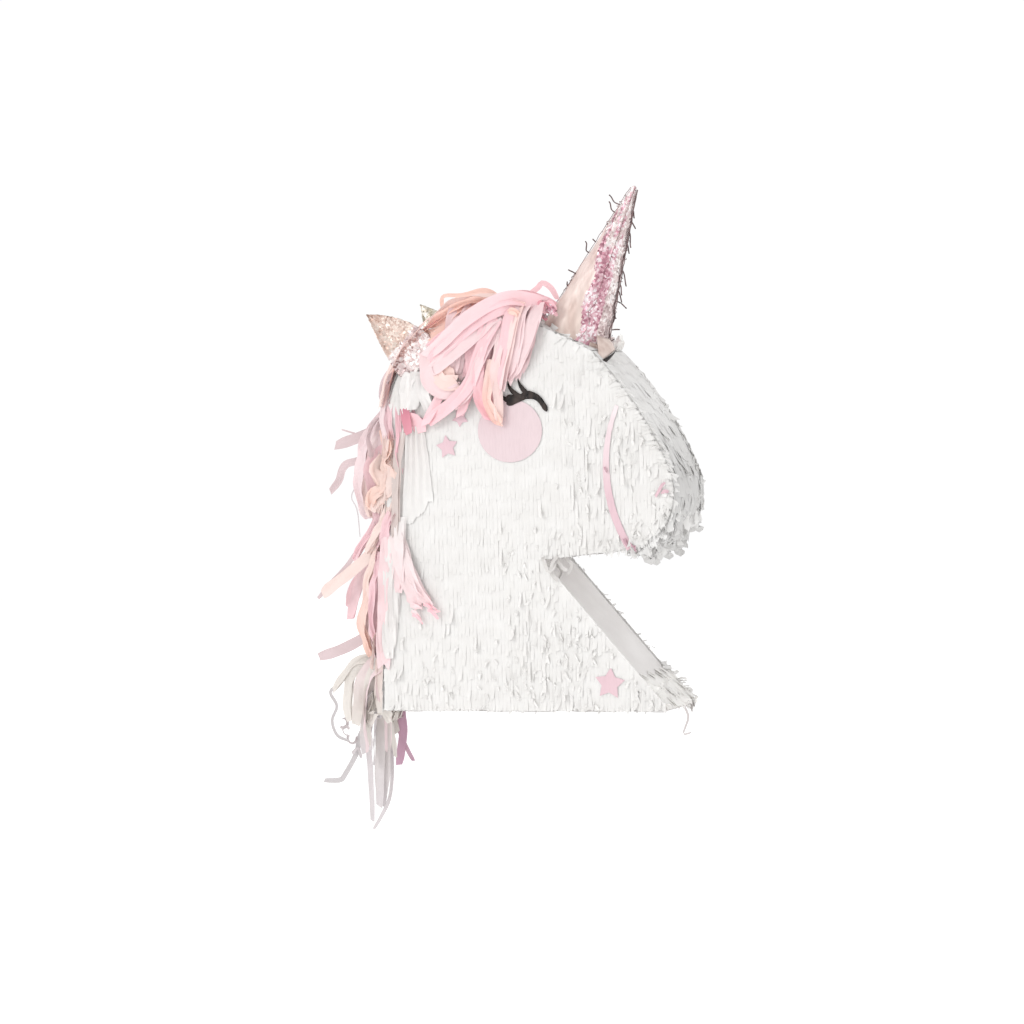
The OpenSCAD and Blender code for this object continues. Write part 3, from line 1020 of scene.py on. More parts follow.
def seat_extra(sheaf, rng, place, length):
    """White tufts that stand up round the horn's foot on the far side."""
    for _ in range(22):
        root = Vector((rng.uniform(78, 98), rng.uniform(20, 44), -36))
        tip = root + Vector((rng.uniform(-3, 6), rng.uniform(-2, 5), rng.uniform(6, 19)))
        middle = (root + tip) / 2 + Vector((rng.uniform(-3, 3), 0, 2))
        # These tufts take the lighter white: painted light.
        ribbon(sheaf, rng, [root, middle, tip], rng.uniform(3, 6), PAINTED_LIGHT_WHITE, (0.4, -1, 0.1),
               (0, rng.uniform(-60, 60)), 2.0, 0.9, across=3)
    scraps(sheaf, rng, place, 4, length - 4, 16, lambda: rng.uniform(36, EDGE_HALF), 5, (2, 4))


def toe_extra(sheaf, rng, place, length):
    """Loose ends round the toe and up the chest, shreds under the toe and one long curl."""
    start = length - TOE_REACH
    scraps(sheaf, rng, place, start - 10, length - 4, 30, lambda: rng.uniform(EDGE_HALF - 7, EDGE_HALF + 1),
           10)
    scraps(sheaf, rng, place, start, length - 2, 30, lambda: rng.uniform(-EDGE_HALF, EDGE_HALF), 5)
    scraps(sheaf, rng, place, 10, start, 9, lambda: rng.uniform(EDGE_HALF - 2, EDGE_HALF), 5, (0.8, 2.2))
    for k in range(14):
        foot = Vector((rng.uniform(148, 163), rng.uniform(26, 42), -386))
        tip = foot + Vector((rng.uniform(-2, 5), rng.uniform(-1, 3), -rng.uniform(4, 11)))
        dye = (0.45, 0.42, 0.41) if k % 5 == 0 else GREY_WHITE
        ribbon(sheaf, rng, [foot, (foot + tip) / 2, tip], rng.uniform(2, 4.5), dye, (0, -1, 0), (0, 50), 1.4,
               1, across=2)
    curl = [(150, 41, -386), (152, 41, -393), (156, 41, -404), (150, 42, -420), (158, 43, -419)]
    ribbon(sheaf, rng, curl, 3.0, (0.66, 0.62, 0.62), (0, -1, 0), (0, 50), 0.6, across=2)


def round_gap(u, radius, middle, length):
    """A wall's stretches at u in front of and behind a round gap in it."""
    if abs(u) >= radius:
        return [(0, length)]
    half_gap = math.sqrt(radius**2 - u * u)
    return [(0, middle - half_gap), (middle + half_gap, length)]


def make_edge_fringes(material):
    # The snout's tint is painted light at the brow and painted shade towards the chin.
    edge_fringe("snout", stretch(JAW, SEAT_FRONT)[::-1], 21, lambda u, v: 0.15 + max(0, (v - 50) / 85),
                material,
                extra=snout_extra, tint=snout_painted_light_shade, lining=ALL_ALONG, droop=chin_droop, width=5.5, rise=0.45)

    crown = stretch(SEAT_BACK, NAPE)
    crown_length = sum(math.dist(a, b) for a, b in zip(crown, crown[1:]))
    past_hole = SEAT_BACK[0] + HOLE_ROOM
    edge_fringe("crown", crown, 22, lambda u, v: 0.6, material, backwards=False,
                spans=lambda u: round_gap(u, HOLE_ROOM, SEAT_BACK[0], crown_length),
                lining=(past_hole, 999), hole_end=past_hole, early=3.0)

    edge_fringe("back", stretch(NAPE, HEEL), 23, lambda u, v: 0.6, material, backwards=False,
                lining=ALL_ALONG)

    seat_length = math.dist(SEAT_FRONT, SEAT_BACK)
    horn_middle = math.dist(SEAT_BACK, (HORN_FOOT.x, HORN_FOOT.z))
    edge_fringe("seat", stretch(SEAT_FRONT, SEAT_BACK)[::-1], 24, lambda u, v: 0.5, material,
                spans=lambda u: round_gap(u, HORN_R + HORN_ROOM, horn_middle, seat_length),
                extra=seat_extra, lining=ALL_ALONG, rise=0.5)

    toe_length = math.dist(TOE, THROAT)

    def toe_spans(u):
        ragged = 7 * noise.noise(Vector((u * 0.09, 0, 0))) - 8 * max(0, (u - 25) / 20)
        return [(toe_length - TOE_REACH + ragged, toe_length - 0.5)]

    # The toe's strips are painted lighter than the other white tissue: painted light.
    edge_fringe("toe", stretch(TOE, THROAT)[::-1], 25, lambda u, v: 0.7, material, spans=toe_spans,
                extra=toe_extra, tint=PAINTED_LIGHT_WHITE, sink=9)


def make_throat_curls(material):
    """Tissue ends that curl out of the throat's corner, tinted grey: painted shade under the jaw."""
    rng = random.Random(61)
    sheaf = Sheaf()
    y = -(SKIN_Y + 0.6)
    for route, width in (
        ([(40, y, -238), (44, y - 3, -246), (47, y - 4, -253), (52, y - 3, -250), (54, y - 1, -244)], 3.4),
        ([(56, y, -238), (52, y - 3, -244), (49, y - 3, -252)], 3),
        ([(44, y + 3, -243), (50, y, -256), (56, y - 1, -262)], 4),
        ([(52, y + 6, -240), (60, y + 3, -250), (66, y, -252)], 3.6),
        ([(60, y + 9, -239), (68, y + 6, -247), (66, y + 2, -256)], 3.2),
        ([(46, y + 14, -244), (56, y + 10, -252), (54, y + 5, -262)], 5),
    ):
        ribbon(sheaf, rng, route, width, shade(THROAT_SHADE_GREY, rng), (0, -1, 0), (0, rng.uniform(-70, 70)), 1.2,
               0.8, across=2)
    sheaf.piece("throat_curls", [material], SHELL, ())


# ---- Paper cut-outs

CUTOUT_H = 0.1
MUZZLE_ARC = (155.5, 212)
STAR_INNER = 0.54
STAR_TINT = (1, 0.95, 0.97)
MUZZLE_SHRED = (0.72, 0.62, 0.66)
EYE_STROKES = (
    (((7, -84, 8), (9, -84, 10.5), (12, -84, 10.8), (16, -83.5, 8.8), (21, -83, 6), (27, -81, 5)), 0.0,
     False),
    (((22, -80.5, 4), (26, -80, 6.5), (30, -79.5, 8), (34, -80, 7.2), (38, -81.5, 6.3), (42, -84.5, 5.7),
      (45, -88.5, 5.3), (47.5, -92.5, 5.3), (49.5, -96.5, 5)), 0.1, True),
    (((9.5, -65, 0.4), (10, -69, 2.4), (12, -73, 3.6), (15.5, -77, 4.7), (20, -80, 4.8), (26, -82, 4)), 0.25,
     False),
    (((20, -63, 0.4), (21, -67, 2.2), (23, -71, 3.8), (26, -75, 4.8), (30, -79, 5)), 0.35, False),
    (((-4, -70, 0.4), (-2, -75, 2.4), (2, -80, 3.6), (8, -84, 4.4)), 0.15, False),
)


def cutout_y(side, x, z, level=0.0):
    """A cut-out's own height over the fringe, which it follows loosely."""
    wave = 0.22 * noise.noise(Vector((x * 0.06, z * 0.06, 9))) + 0.1 * noise.noise(Vector((x * 0.25, z * 0.12,
                                                                                           4)))
    return side * (SKIN_Y + CUTOUT_H + level + wave)


def filled(sheaf, side, centre, ring, rings):
    """A shape filled from its middle out to a ring of (x, z) points round it."""
    rows = []
    for k in range(1, rings + 1):
        row = []
        for x, z in ring:
            px, pz = centre[0] + (x - centre[0]) * k / rings, centre[1] + (z - centre[1]) * k / rings
            row.append(Vector((px, cutout_y(side, px, pz), pz)))
        rows.append(row)
    middle = Vector((centre[0], cutout_y(side, *centre), centre[1]))
    start = sheaf.loop(rows, PLAIN)
    sheaf.cap(start, len(ring), middle, PLAIN)


def star_ring(centre, r, turn):
    """A five-pointed star's outline as (x, z) points, four to each of its ten edges."""
    corners = []
    for k in range(11):
        a = math.radians(36 * k + 90 + turn)
        reach = r if k % 2 == 0 else r * STAR_INNER
        corners.append(Vector((centre[0] + reach * math.cos(a), centre[1] + reach * math.sin(a))))
    return [tuple(p.lerp(q, s / 4)) for p, q in zip(corners, corners[1:]) for s in range(4)]


def muzzle_width(t):
    return 4.2 + 3.2 * min(1, t * 1.8)


def muzzle_tint(t):
    """The muzzle line fades to near-white at its top."""
    k = max(0, 1 - t / 0.6)
    return (1 + 0.17 * k, 1 + 0.42 * k, 1 + 0.34 * k)


def muzzle_bow(sheaf, side):
    """The paper band round the muzzle, with rough edges; t is 0 at its top and 1 at its foot."""
    steps, across = 60, 3
    first, last = MUZZLE_ARC
    rows = []
    tints = []
    for k in range(steps + 1):
        t = k / steps
        a = math.radians(first + (last - first) * t)
        row = []
        for j in range(across + 1):
            rough = 0.5 * noise.noise(Vector((t * 24, j * 2.0, side)))
            r = MUZZLE_R + muzzle_width(t) * (j / across - 0.5) + rough
            x, z = MUZZLE[0] + r * math.cos(a), MUZZLE[1] + r * math.sin(a)
            row.append(Vector((x, cutout_y(side, x, z), z)))
        rows.append(row)
        tints.append(muzzle_tint(t))
    sheaf.strip(rows, tints)


def stroke(sheaf, side, spots, level, round_end):
    """A brush-like shape along (x, z, width) spots."""
    path = smooth(spots, 4 * len(spots))
    flat = [Vector((q.x, q.y, 0)) for q in path]
    rows = []
    for i, p in enumerate(path):
        d = tangent(flat, i)
        width = max(0.2, p.z)
        if round_end:
            left = len(path) - 1 - i
            width *= math.sqrt(min(1, (left + 0.15) / 4))
        row = []
        for j in range(5):
            x, z = p.x - d.y * width * (j / 4 - 0.5), p.y + d.x * width * (j / 4 - 0.5)
            row.append(Vector((x, cutout_y(side, x, z, level), z)))
        rows.append(row)
    sheaf.strip(rows, PLAIN)


def make_cheek(side, word, pale):
    sheaf = Sheaf()
    ring = [(CHEEK[0] + CHEEK_SIZE[0] * math.cos(a), CHEEK[1] + CHEEK_SIZE[1] * math.sin(a))
            for a in (math.radians(5 * k) for k in range(72))]
    filled(sheaf, side, CHEEK, ring, 10)
    sheaf.piece(word + "_cheek_disc", [pale], SHELL, [word + "_cheek"])


def make_stars(side, word, pink):
    sheaf = Sheaf()
    for centre, r, turn in STARS:
        filled(sheaf, side, centre, star_ring(centre, r, turn), 5)
    sheaf.piece(word + "_paper_stars", [pink], SHELL, [word + "_stars"])


def make_muzzle_line(side, word, pink):
    sheaf = Sheaf()
    muzzle_bow(sheaf, side)
    rng = random.Random(32)
    y = side * (SKIN_Y + 1.2)
    shreds = ((126, -222, 3, -8, 3), (131, -226, 5, -5, 2.4), (136, -229, 2, -7, 3), (108, -152, 2, -6, 2))
    for x, z, dx, dz, w in shreds:
        route = [(x, y, z), (x + dx * 0.5, y + side * 1.2, z + dz * 0.5), (x + dx, y, z + dz)]
        ribbon(sheaf, rng, route, w, MUZZLE_SHRED, (0, side, 0), (-20, 50), 1.0, 0.8, across=2)
    sheaf.piece(word + "_muzzle_line", [pink], SHELL, [word + "_muzzle_band"])


def make_nostril(side, word, pink):
    sheaf = Sheaf()
    rng = random.Random(31)
    y = side * (SKIN_Y + 0.8)
    x, z = NOSTRIL
    for steps, width, twist in (
        (((-6, 0, -6), (-2, 1.5, -1), (2, 2, 5), (5, 1, 7)), 3.0, (-30, 60)),
        (((1, 0, -4), (4, 1.8, -1), (8, 1, -2)), 3.4, (40, -40)),
    ):
        curl = [(x + dx, y + side * out, z + dz) for dx, out, dz in steps]
        ribbon(sheaf, rng, curl, width, STAR_TINT, (0, side, 0), twist, 1.0)
    sheaf.piece(word + "_nostril_curl", [pink], SHELL, [word + "_nostril"])


def make_eyelid(side, word, black):
    sheaf = Sheaf()
    for spots, level, rounded in EYE_STROKES:
        stroke(sheaf, side, spots, 0.5 + level, rounded)
    sheaf.piece(word + "_eyelid", [black], SHELL, [word + "_eye"], 0.2)


def make_cutouts(pale, pink, black):
    for side, word in ((-1, "near"), (1, "far")):
        make_cheek(side, word, pale)
        make_stars(side, word, pink)
        make_muzzle_line(side, word, pink)
        make_nostril(side, word, pink)
        make_eyelid(side, word, black)


# ---- Horn

HORN_LEAN = math.radians(24.6)
HORN_LENGTH = 161
HORN_R = 34
SEAT_SLOPE = (SEAT_BACK[1] - SEAT_FRONT[1]) / (SEAT_FRONT[0] - SEAT_BACK[0])
HORN_FOOT = Vector((64, 0, -(64 - SEAT_BACK[0]) * SEAT_SLOPE))
HORN_AXIS = Vector((math.sin(HORN_LEAN), 0, math.cos(HORN_LEAN)))
HORN_FRONT = Vector((math.cos(HORN_LEAN), 0, -math.sin(HORN_LEAN)))
HORN_TIP_R = 1.5
FOIL_H = 0.6
SATIN, PINK_FLAKES, SILVER_FLAKES = 0, 1, 2
HORN_THREADS = (
    (-167, 139, 15, 5), (-172, 130, 12, 8), (-165, 96, 5, 2), (-170, 84, 10, 9), (-164, 60, 9, 1), (-170, 46,
                                                                                                    4, 3),
    (8, 138, 3, -6), (14, 128, 6, -5), (6, 118, 5, -14), (12, 106, 4, -8), (10, 80, 7, -13), (16, 66, 4, -9),
    (8, 60, 6, -9), (12, 50, 11, -3), (6, 40, 3, -6), (14, 22, 8, 3), (8, 12, 5, 2),
)


def horn_point(angle, h, out=0.0):
    """On the horn's skin: angle round it from the front, h up its axis, and out from it."""
    a = math.radians(angle)
    radial = HORN_FRONT * math.cos(a) + Vector((0, math.sin(a), 0))
    r = HORN_R + (HORN_TIP_R - HORN_R) * h / HORN_LENGTH + FOIL_H
    return HORN_FOOT + HORN_AXIS * h + radial * (r + out)


def seat_h(angle):
    """How far up the axis the horn's skin meets its seat at an angle."""
    p = horn_point(angle, 0)
    above = p.z + (p.x - SEAT_BACK[0]) * SEAT_SLOPE
    return -above / (HORN_AXIS.z + SEAT_SLOPE * HORN_AXIS.x)


def foil_kind(middle):
    """Which foil covers the horn at a point: satin at its back, pink and silver flakes down its front."""
    offset = middle - HORN_FOOT
    h = offset.dot(HORN_AXIS)
    angle = abs(math.degrees(math.atan2(offset.y, offset.dot(HORN_FRONT))))
    edge = 9 * noise.noise(Vector((h * 0.05, angle * 0.02, 2))) + 4 * noise.noise(Vector((h * 0.3,
                                                                                          angle * 0.1, 2)))
    patch = noise.noise(Vector((h * 0.07, angle * 0.05, 9)))
    if angle > 86 + edge - 20 * max(0, (46 - h) / 46) + 1.0 * max(0, h - 66):
        return SATIN
    if angle > 30 + edge + 0.08 * h and (h < 104 + 3 * edge or patch > 0.05):
        return PINK_FLAKES
    return SILVER_FLAKES


def make_horn_wrap(sateen, pink_glitter, silver_glitter):
    """The dented foil cone, from its seat to its closed tip."""
    sheaf = Sheaf()
    around, up = 120, 90
    rings = []
    for i in range(up + 1):
        ring = []
        for j in range(around):
            angle = 360 * j / around
            h0 = seat_h(angle) + 0.3
            h = h0 + (HORN_LENGTH - 0.5 - h0) * i / up
            spot = Vector((math.cos(math.radians(angle)) * 1.6, math.sin(math.radians(angle)) * 1.6,
                           h * 0.016))
            crease = abs(noise.noise(spot * 1.7 + Vector((5, 0, 0))))
            dent = 1.5 * noise.noise(spot) - 2.4 * crease
            dent += 0.6 * noise.noise(spot * 4)
            dent += 0.3 * noise.noise(spot * 9)
            taper = min(1, (HORN_LENGTH - h) / 60)
            ring.append(horn_point(angle, h, (0.9 + dent) * taper if i else 0.2))
        rings.append(ring)
    sheaf.loop(rings, PLAIN)
    tip = horn_point(0, HORN_LENGTH + 1, -1.9)
    sheaf.loop([rings[-1], [tip.lerp(p, 0.15) for p in rings[-1]]], PLAIN)
    sheaf.kinds = [foil_kind(sum((sheaf.points[i] for i in face), Vector()) / 4) for face in sheaf.faces]
    sheaf.piece("horn_foil_wrap", [sateen, pink_glitter, silver_glitter], SHELL, ["horn_foil", "horn_cone"])


def make_horn_hem(sateen, shadow):
    """The foil's loose hem round the foot, and the tab that stands out over the brow's corner, with a black
    strip along it: painted shadow of the gap under the tab.
    """
    sheaf = Sheaf()
    for first, last, rise, drop in ((-46, -4, 7, 10), (4, 60, 6, 12)):
        rows = []
        for i in range(11):
            t = i / 10
            row = []
            for j in range(25):
                k = j / 24
                angle = first + (last - first) * k
                bell = math.sin(math.pi * k) ** 0.8
                ragged = 1.2 * noise.noise(Vector((k * 7, first, 0)))
                h = seat_h(angle) + rise - (rise + drop * 0.5) * t * (0.3 + 0.7 * bell) + ragged
                flare = 1.6 + 2.6 * t * t * bell + 0.7 * noise.noise(Vector((angle * 0.12, t * 2, 1)))
                row.append(horn_point(angle, h, flare))
            rows.append(row)
        sheaf.strip(rows, PLAIN)
    brink = smooth([(102.5, -43, -52), (107, -35, -47), (110, -24, -42), (110, -13, -38.5)], 15)
    rows = []
    for i in range(9):
        t = i / 8
        row = []
        for j, edge in enumerate(brink):
            angle = -38 + 32 * j / 14
            root = horn_point(angle, seat_h(angle) + 15, 1.8)
            lift = 1.8 * math.sin(math.pi * t) + 0.5 * noise.noise(Vector((j * 0.5, t * 4, 3)))
            row.append(root.lerp(edge, t) + Vector((0.7, -0.3, 0.3)) * lift)
        rows.append(row)
    sheaf.strip(rows, PLAIN)
    # A black strip along the tab: painted shadow of the gap beneath it.
    route = [(105.5, -44, -51), (108.5, -38, -48.5), (111.5, -30, -44.5), (112, -21, -41), (111, -13, -38.5)]
    rows = []
    for i, p in enumerate(smooth(route, 18)):
        t = i / 17
        w = 5.4 * min(1, 0.3 + t * 5) * (1 - 0.85 * max(0, t - 0.25) / 0.75)
        rows.append([p + Vector((0.3, 0, 1)) * (w * share) for share in (-0.6, -0.3, 0.05, 0.4)])
    sheaf.strip(rows, PLAIN, 1)
    sheaf.piece("horn_foil_hem", [sateen, shadow], SHELL, (), 0.3)


def make_horn_wires(film):
    """Dark tinsel: strands up both edges, threads that stick out, and short loops between them."""
    rng = random.Random(41)
    sheaf = Sheaf()
    taupe, rose = (0.9, 0.78, 0.78), (1.3, 0.95, 0.95)
    for angle, strand, swing in ((-4, 0.75, 16), (4, 0.4, 10), (-166, 0.3, 4), (-60, 0.25, 8)):
        spine = []
        for k in range(46):
            h = 6 + (HORN_LENGTH - 8) * k / 45
            wobble = swing * noise.noise(Vector((h * 0.075, angle, 0)))
            lift = 1.3 + 1.0 * noise.noise(Vector((h * 0.13, 7, angle)))
            spine.append(horn_point(angle + wobble, h, lift))
        thread(sheaf, spine, strand, taupe if strand > 0.35 else rose)
    for base, h, reach, rise in HORN_THREADS:
        angle = base + rng.uniform(-3, 3)
        bend = horn_point(angle + rng.uniform(-3, 3), h + rise * 0.2 + rng.uniform(-1, 1), reach * 0.45)
        turn = horn_point(angle + rng.uniform(-5, 5), h + rise * 0.8, reach * 0.8)
        thread(sheaf, [horn_point(angle, h, 0.8), bend, turn, horn_point(angle, h + rise, reach)], 0.7, taupe)
    for _ in range(26):
        base = rng.choice((2, 6, -168, -160))
        h, angle = HORN_LENGTH * rng.uniform(0.05, 0.98), base + rng.uniform(-8, 8)
        reach, rise = rng.uniform(1.0, 3.0), rng.uniform(-4, 3)
        route = [horn_point(angle, h, 0.5), horn_point(angle + 4, h + rise * 0.5, reach),
                 horn_point(angle + 2, h + rise, reach * 0.6)]
        thread(sheaf, route, 0.35, rng.choice((taupe, rose)), tapered=True)
    sheaf.piece("horn_tinsel", [film], SHELL, ["horn_wires"])


def make_horn(sateen, pink_glitter, silver_glitter, wire_film, black):
    make_horn_wrap(sateen, pink_glitter, silver_glitter)
    # The hem's black strip is painted shadow.
    make_horn_hem(sateen, black)
    make_horn_wires(wire_film)


# ---- Ears

EAR_ROOT = (-90, -36)
EAR_LENGTH = 65
EAR_HALF = 26
EAR_FOOT = 13


def ear_rows(side, bearing, lift, steps, cols):
    """An ear's rows of points from its rounded foot to its tip: cupped, bent out and a little crumpled."""
    a = math.radians(bearing)
    along = Vector((math.cos(a), 0, math.sin(a)))
    across = Vector((-math.sin(a), 0, math.cos(a)))
    rows = []
    for i in range(steps + 1):
        s = -EAR_FOOT + (EAR_LENGTH + EAR_FOOT) * i / steps
        share = max(0, s / EAR_LENGTH)
        upper = EAR_HALF * max(0.01, 1 - share**2.1)
        lower = EAR_HALF * max(0.01, 1 - share**1.15)
        if s < 0:
            upper = lower = EAR_HALF * (1 - (s / EAR_FOOT) ** 2 * 0.5)
        row = []
        for j in range(cols + 1):
            u = 2 * j / cols - 1
            half = upper if u < 0 else lower
            cup = 6 * u * u * min(1, max(0, share * 1.8)) * max(0, 1.15 - share)
            bend = 5 * max(0, share - 0.3) ** 1.5
            crumple = (0.9 * noise.noise(Vector((s * 0.09, u * 2, side * 3)))
                       + 0.4 * noise.noise(Vector((s * 0.3, u * 5, 1))))
            ragged = 1.2 * noise.noise(Vector((s * 0.35, side, u))) * min(1, (1 - share) * 8)
            y = side * (SKIN_Y + lift + cup + bend + crumple)
            row.append(Vector((EAR_ROOT[0], y, EAR_ROOT[1])) + along * s + across * (u * half + ragged * u))
        rows.append(row)
    return rows


def make_ears(gold, silver, olive):
    """Two ears, each a card leaf with a glitter face: silver at its foot and gold above."""
    steps, cols = 40, 24
    for side, word, bearing in ((-1, "near", 139), (1, "far", 122)):
        leaf = Sheaf()
        leaf.strip(ear_rows(side, bearing, 0.7, steps, cols), PLAIN)
        leaf.piece(word + "_ear_leaf", [olive], SHELL, [word + "_ear"], 0.4)
        face = Sheaf()
        face.strip(ear_rows(side, bearing, 1.5, steps, cols), PLAIN)
        for k in range(len(face.faces)):
            s = (k // cols) / steps
            wave = 0.05 * noise.noise(Vector((k % cols * 0.4, s * 5, 0)))
            face.kinds[k] = 1 if s > 0.4 + wave + 0.05 * (k % cols / cols - 0.5) else 0
        face.piece(word + "_ear_glitter", [silver, gold], SHELL, [word + "_ear_foil"],
                   0.4)


# ---- Streamers

PINK = (0.975, 0.665, 0.705)
ROSE = (0.97, 0.60, 0.655)
PALE = (0.955, 0.755, 0.775)
PEACH = (0.98, 0.765, 0.72)
ORANGE = (1.0, 0.69, 0.61)
CREAM = (0.85, 0.765, 0.725)
LILAC = (0.735, 0.655, 0.67)
MAUVE = (0.62, 0.37, 0.48)
MILK = (0.885, 0.865, 0.855)
# A dull rose-pink: the knot's own colour, and painted shade on the pale and lilac strips that stick out at
# the back.
DULL_ROSE_AND_SHADE = (0.74, 0.575, 0.59)
SHADOW = (0.62, 0.56, 0.57)
DEEP_ROSE = (0.80, 0.36, 0.42)
# Grey at the top of the gathered neck sheet: painted shade.
GATHER_SHADE_GREY = (0.84, 0.805, 0.79)
# Grey-brown for the strip beside the neck's white sheet: painted shade.
NECK_SHADE_TAUPE = (0.70, 0.61, 0.585)
FAINT = (0.90, 0.80, 0.80)
NEAR = (0, -1, 0)


def wander(rng, route, amount):
    """The same route, moved a little, so that a family of streamers isn't all alike."""
    shift = Vector((rng.uniform(-1, 1), rng.uniform(-0.5, 0.5), rng.uniform(-1, 1))) * amount
    out = []
    for i, p in enumerate(route):
        grow = 0.4 + 0.6 * i / (len(route) - 1)
        jitter = Vector((rng.uniform(-1, 1), rng.uniform(-0.4, 0.4), rng.uniform(-1, 1)))
        out.append(Vector(p) + shift * grow + jitter * amount * 0.3)
    return out


def lay_streamers(sheaf, rng, route, width, tint, copies=1, spread=3.0, crumple=1.3, twist=20, wave=0.0,
                  fade=None, tip=0.9, across=6, narrower=1.0):
    """Copies of a streamer whose flat side looks to the near side. Each copy is moved by up to spread and is
    narrower than the one before it; the other values are as ribbon has them."""
    for k in range(copies):
        path = wander(rng, route, spread) if k else route
        ribbon(sheaf, rng, path, width - narrower * k, tint, NEAR, turns(rng, twist, twist, 0.5), crumple,
               tip, wave=wave, fade=fade, across=across)


def make_forelock(paper):
    rng = random.Random(51)
    sheaf = Sheaf()
    lay = partial(lay_streamers, sheaf, rng)

    # White and pale strips beneath, straight down from the crown
    for x, bottom, tint in ((38, -52, PALE), (30, -60, PALE), (20, -60, PINK), (8, -58, PINK),
                            (-6, -56, PINK), (-18, -58, PINK), (-30, -60, PALE), (-44, -66, PALE)):
        lay([(x, -44, 8), (x - 2, -50, -8), (x - 6, -49.5, bottom * 0.55), (x - 14, -49, bottom)], 15, tint,
            2)
    # The middle: pink strips side by side
    lay([(-14, -42, 12), (-17, -54, 0), (-22, -54, -20), (-28, -52, -50)], 15, PINK, 3, 4)
    lay([(-2, -42, 13), (-4, -55, 0), (-9, -55, -24), (-18, -53, -58)], 15, PINK, 3, 4)
    lay([(-28, -42, 9), (-33, -53, -10), (-39, -53, -34), (-45, -51, -56)], 14, PALE, 2, 4)
    # Right: pale strips that close in a V above the eye
    lay([(42, -42, 10), (42, -53, -4), (34, -54, -27), (22, -53, -48), (13, -51, -62)], 14, PALE, 3, 2.5)
    lay([(30, -42, 12), (28, -55, 0), (24, -55, -21), (18, -54, -45), (11, -52, -64)], 14, PALE, 2, 3)
    lay([(24, -42, 13), (22, -56, -2), (15, -56, -28), (8, -55, -52), (4, -53, -72)], 13, PEACH, 2, 3,
        fade=PALE)
    lay([(20, -42, 13), (17, -57, -2), (10, -57, -30), (2, -56, -56), (-2, -54, -84)], 11, PINK, 2, 2.5)
    # The peach tip over the cheek and the rosy one beside it
    lay([(8, -56, -20), (4, -57, -36), (0, -57, -56), (2, -55, -82), (0, -52, -106)], 10, PALE, 1, 2, 1.8, 45,
        fade=PEACH)
    lay([(-2, -56, -44), (-6, -57, -62), (-9, -56, -82), (-3, -54, -96), (2, -52, -107)], 10, PEACH, 2, 2,
        2.2, 60, 1, fade=ORANGE)
    lay([(-12, -56, -30), (-17, -57, -56), (-19, -56, -78), (-13, -54, -94), (-5, -52, -104)], 11, PINK, 2,
        2.5, 1.8, 60, fade=ROSE)
    lay([(-18, -55, -50), (-24, -55, -66), (-33, -54, -80), (-41, -52, -97)], 10, PINK, 2, 3)
    # The loop under the ear, with a peach fold inside it
    lay([(-76, -50, -34), (-74, -54, -56), (-66, -55, -69), (-53, -55, -74), (-40, -54, -70)], 15, PALE, 2, 2)
    lay([(-67, -51, -40), (-64, -54, -54), (-55, -55, -64), (-43, -54, -64)], 16, PEACH, 2, 2, 1.4, 20)
    lay([(-58, -53, -42), (-54, -55, -52), (-44, -54, -58)], 12, ORANGE, 1, fade=PEACH)
    lay([(3, -56, -4), (-12, -58, -31), (-25, -58, -63), (-42, -57, -82), (-61, -54, -94), (-76, -51, -104)],
        13, PINK, 2, 1.5, 1.2, 15)
    lay([(11, -55, -6), (-3, -57, -24), (-17, -58, -48), (-29, -57, -73), (-44, -55, -88)], 11, PALE, 2, 2,
        1.2, 15)
    lay([(-62, -53, -78), (-70, -54, -92), (-80, -52, -106)], 9, PINK, 1)
    # Swept back over the top from the horn's foot to the ear
    lay([(26, -46, 8), (0, -55, -2), (-16, -57, -16), (-38, -58, -33), (-60, -56, -47), (-74, -52, -54)], 14,
        PALE, 2, 2, 1.0, 15)
    lay([(34, -44, 10), (14, -54, 7), (-8, -58, 0), (-30, -59, -14), (-50, -58, -28), (-70, -54, -42)], 14,
        PINK, 2, 2, 1.0, 15)
    lay([(48, -38, 8), (36, -46, 13), (17, -54, 16), (-4, -58, 10), (-26, -60, -2), (-42, -60, -14),
         (-58, -58, -27), (-76, -53, -38)], 14, PINK, 1, 0, 0.9, 8, fade=PALE)
    lay([(44, -36, 12), (30, -44, 17), (10, -50, 15), (-10, -54, 6), (-34, -56, -8), (-56, -54, -20),
         (-72, -51, -28)], 12, PINK, 2, 1.5, 1.0, 12)
    for route, width in (([(12, -52, -2), (20, -57, 4), (28, -55, -2)], 5),
                         ([(20, -54, -6), (24, -57, -1), (17, -57, 2)], 4)):
        lay(route, width, ORANGE, 1, 0, 1.2)
    sheaf.sheet_piece("forelock_streamers", [paper], SHELL, "forelock")


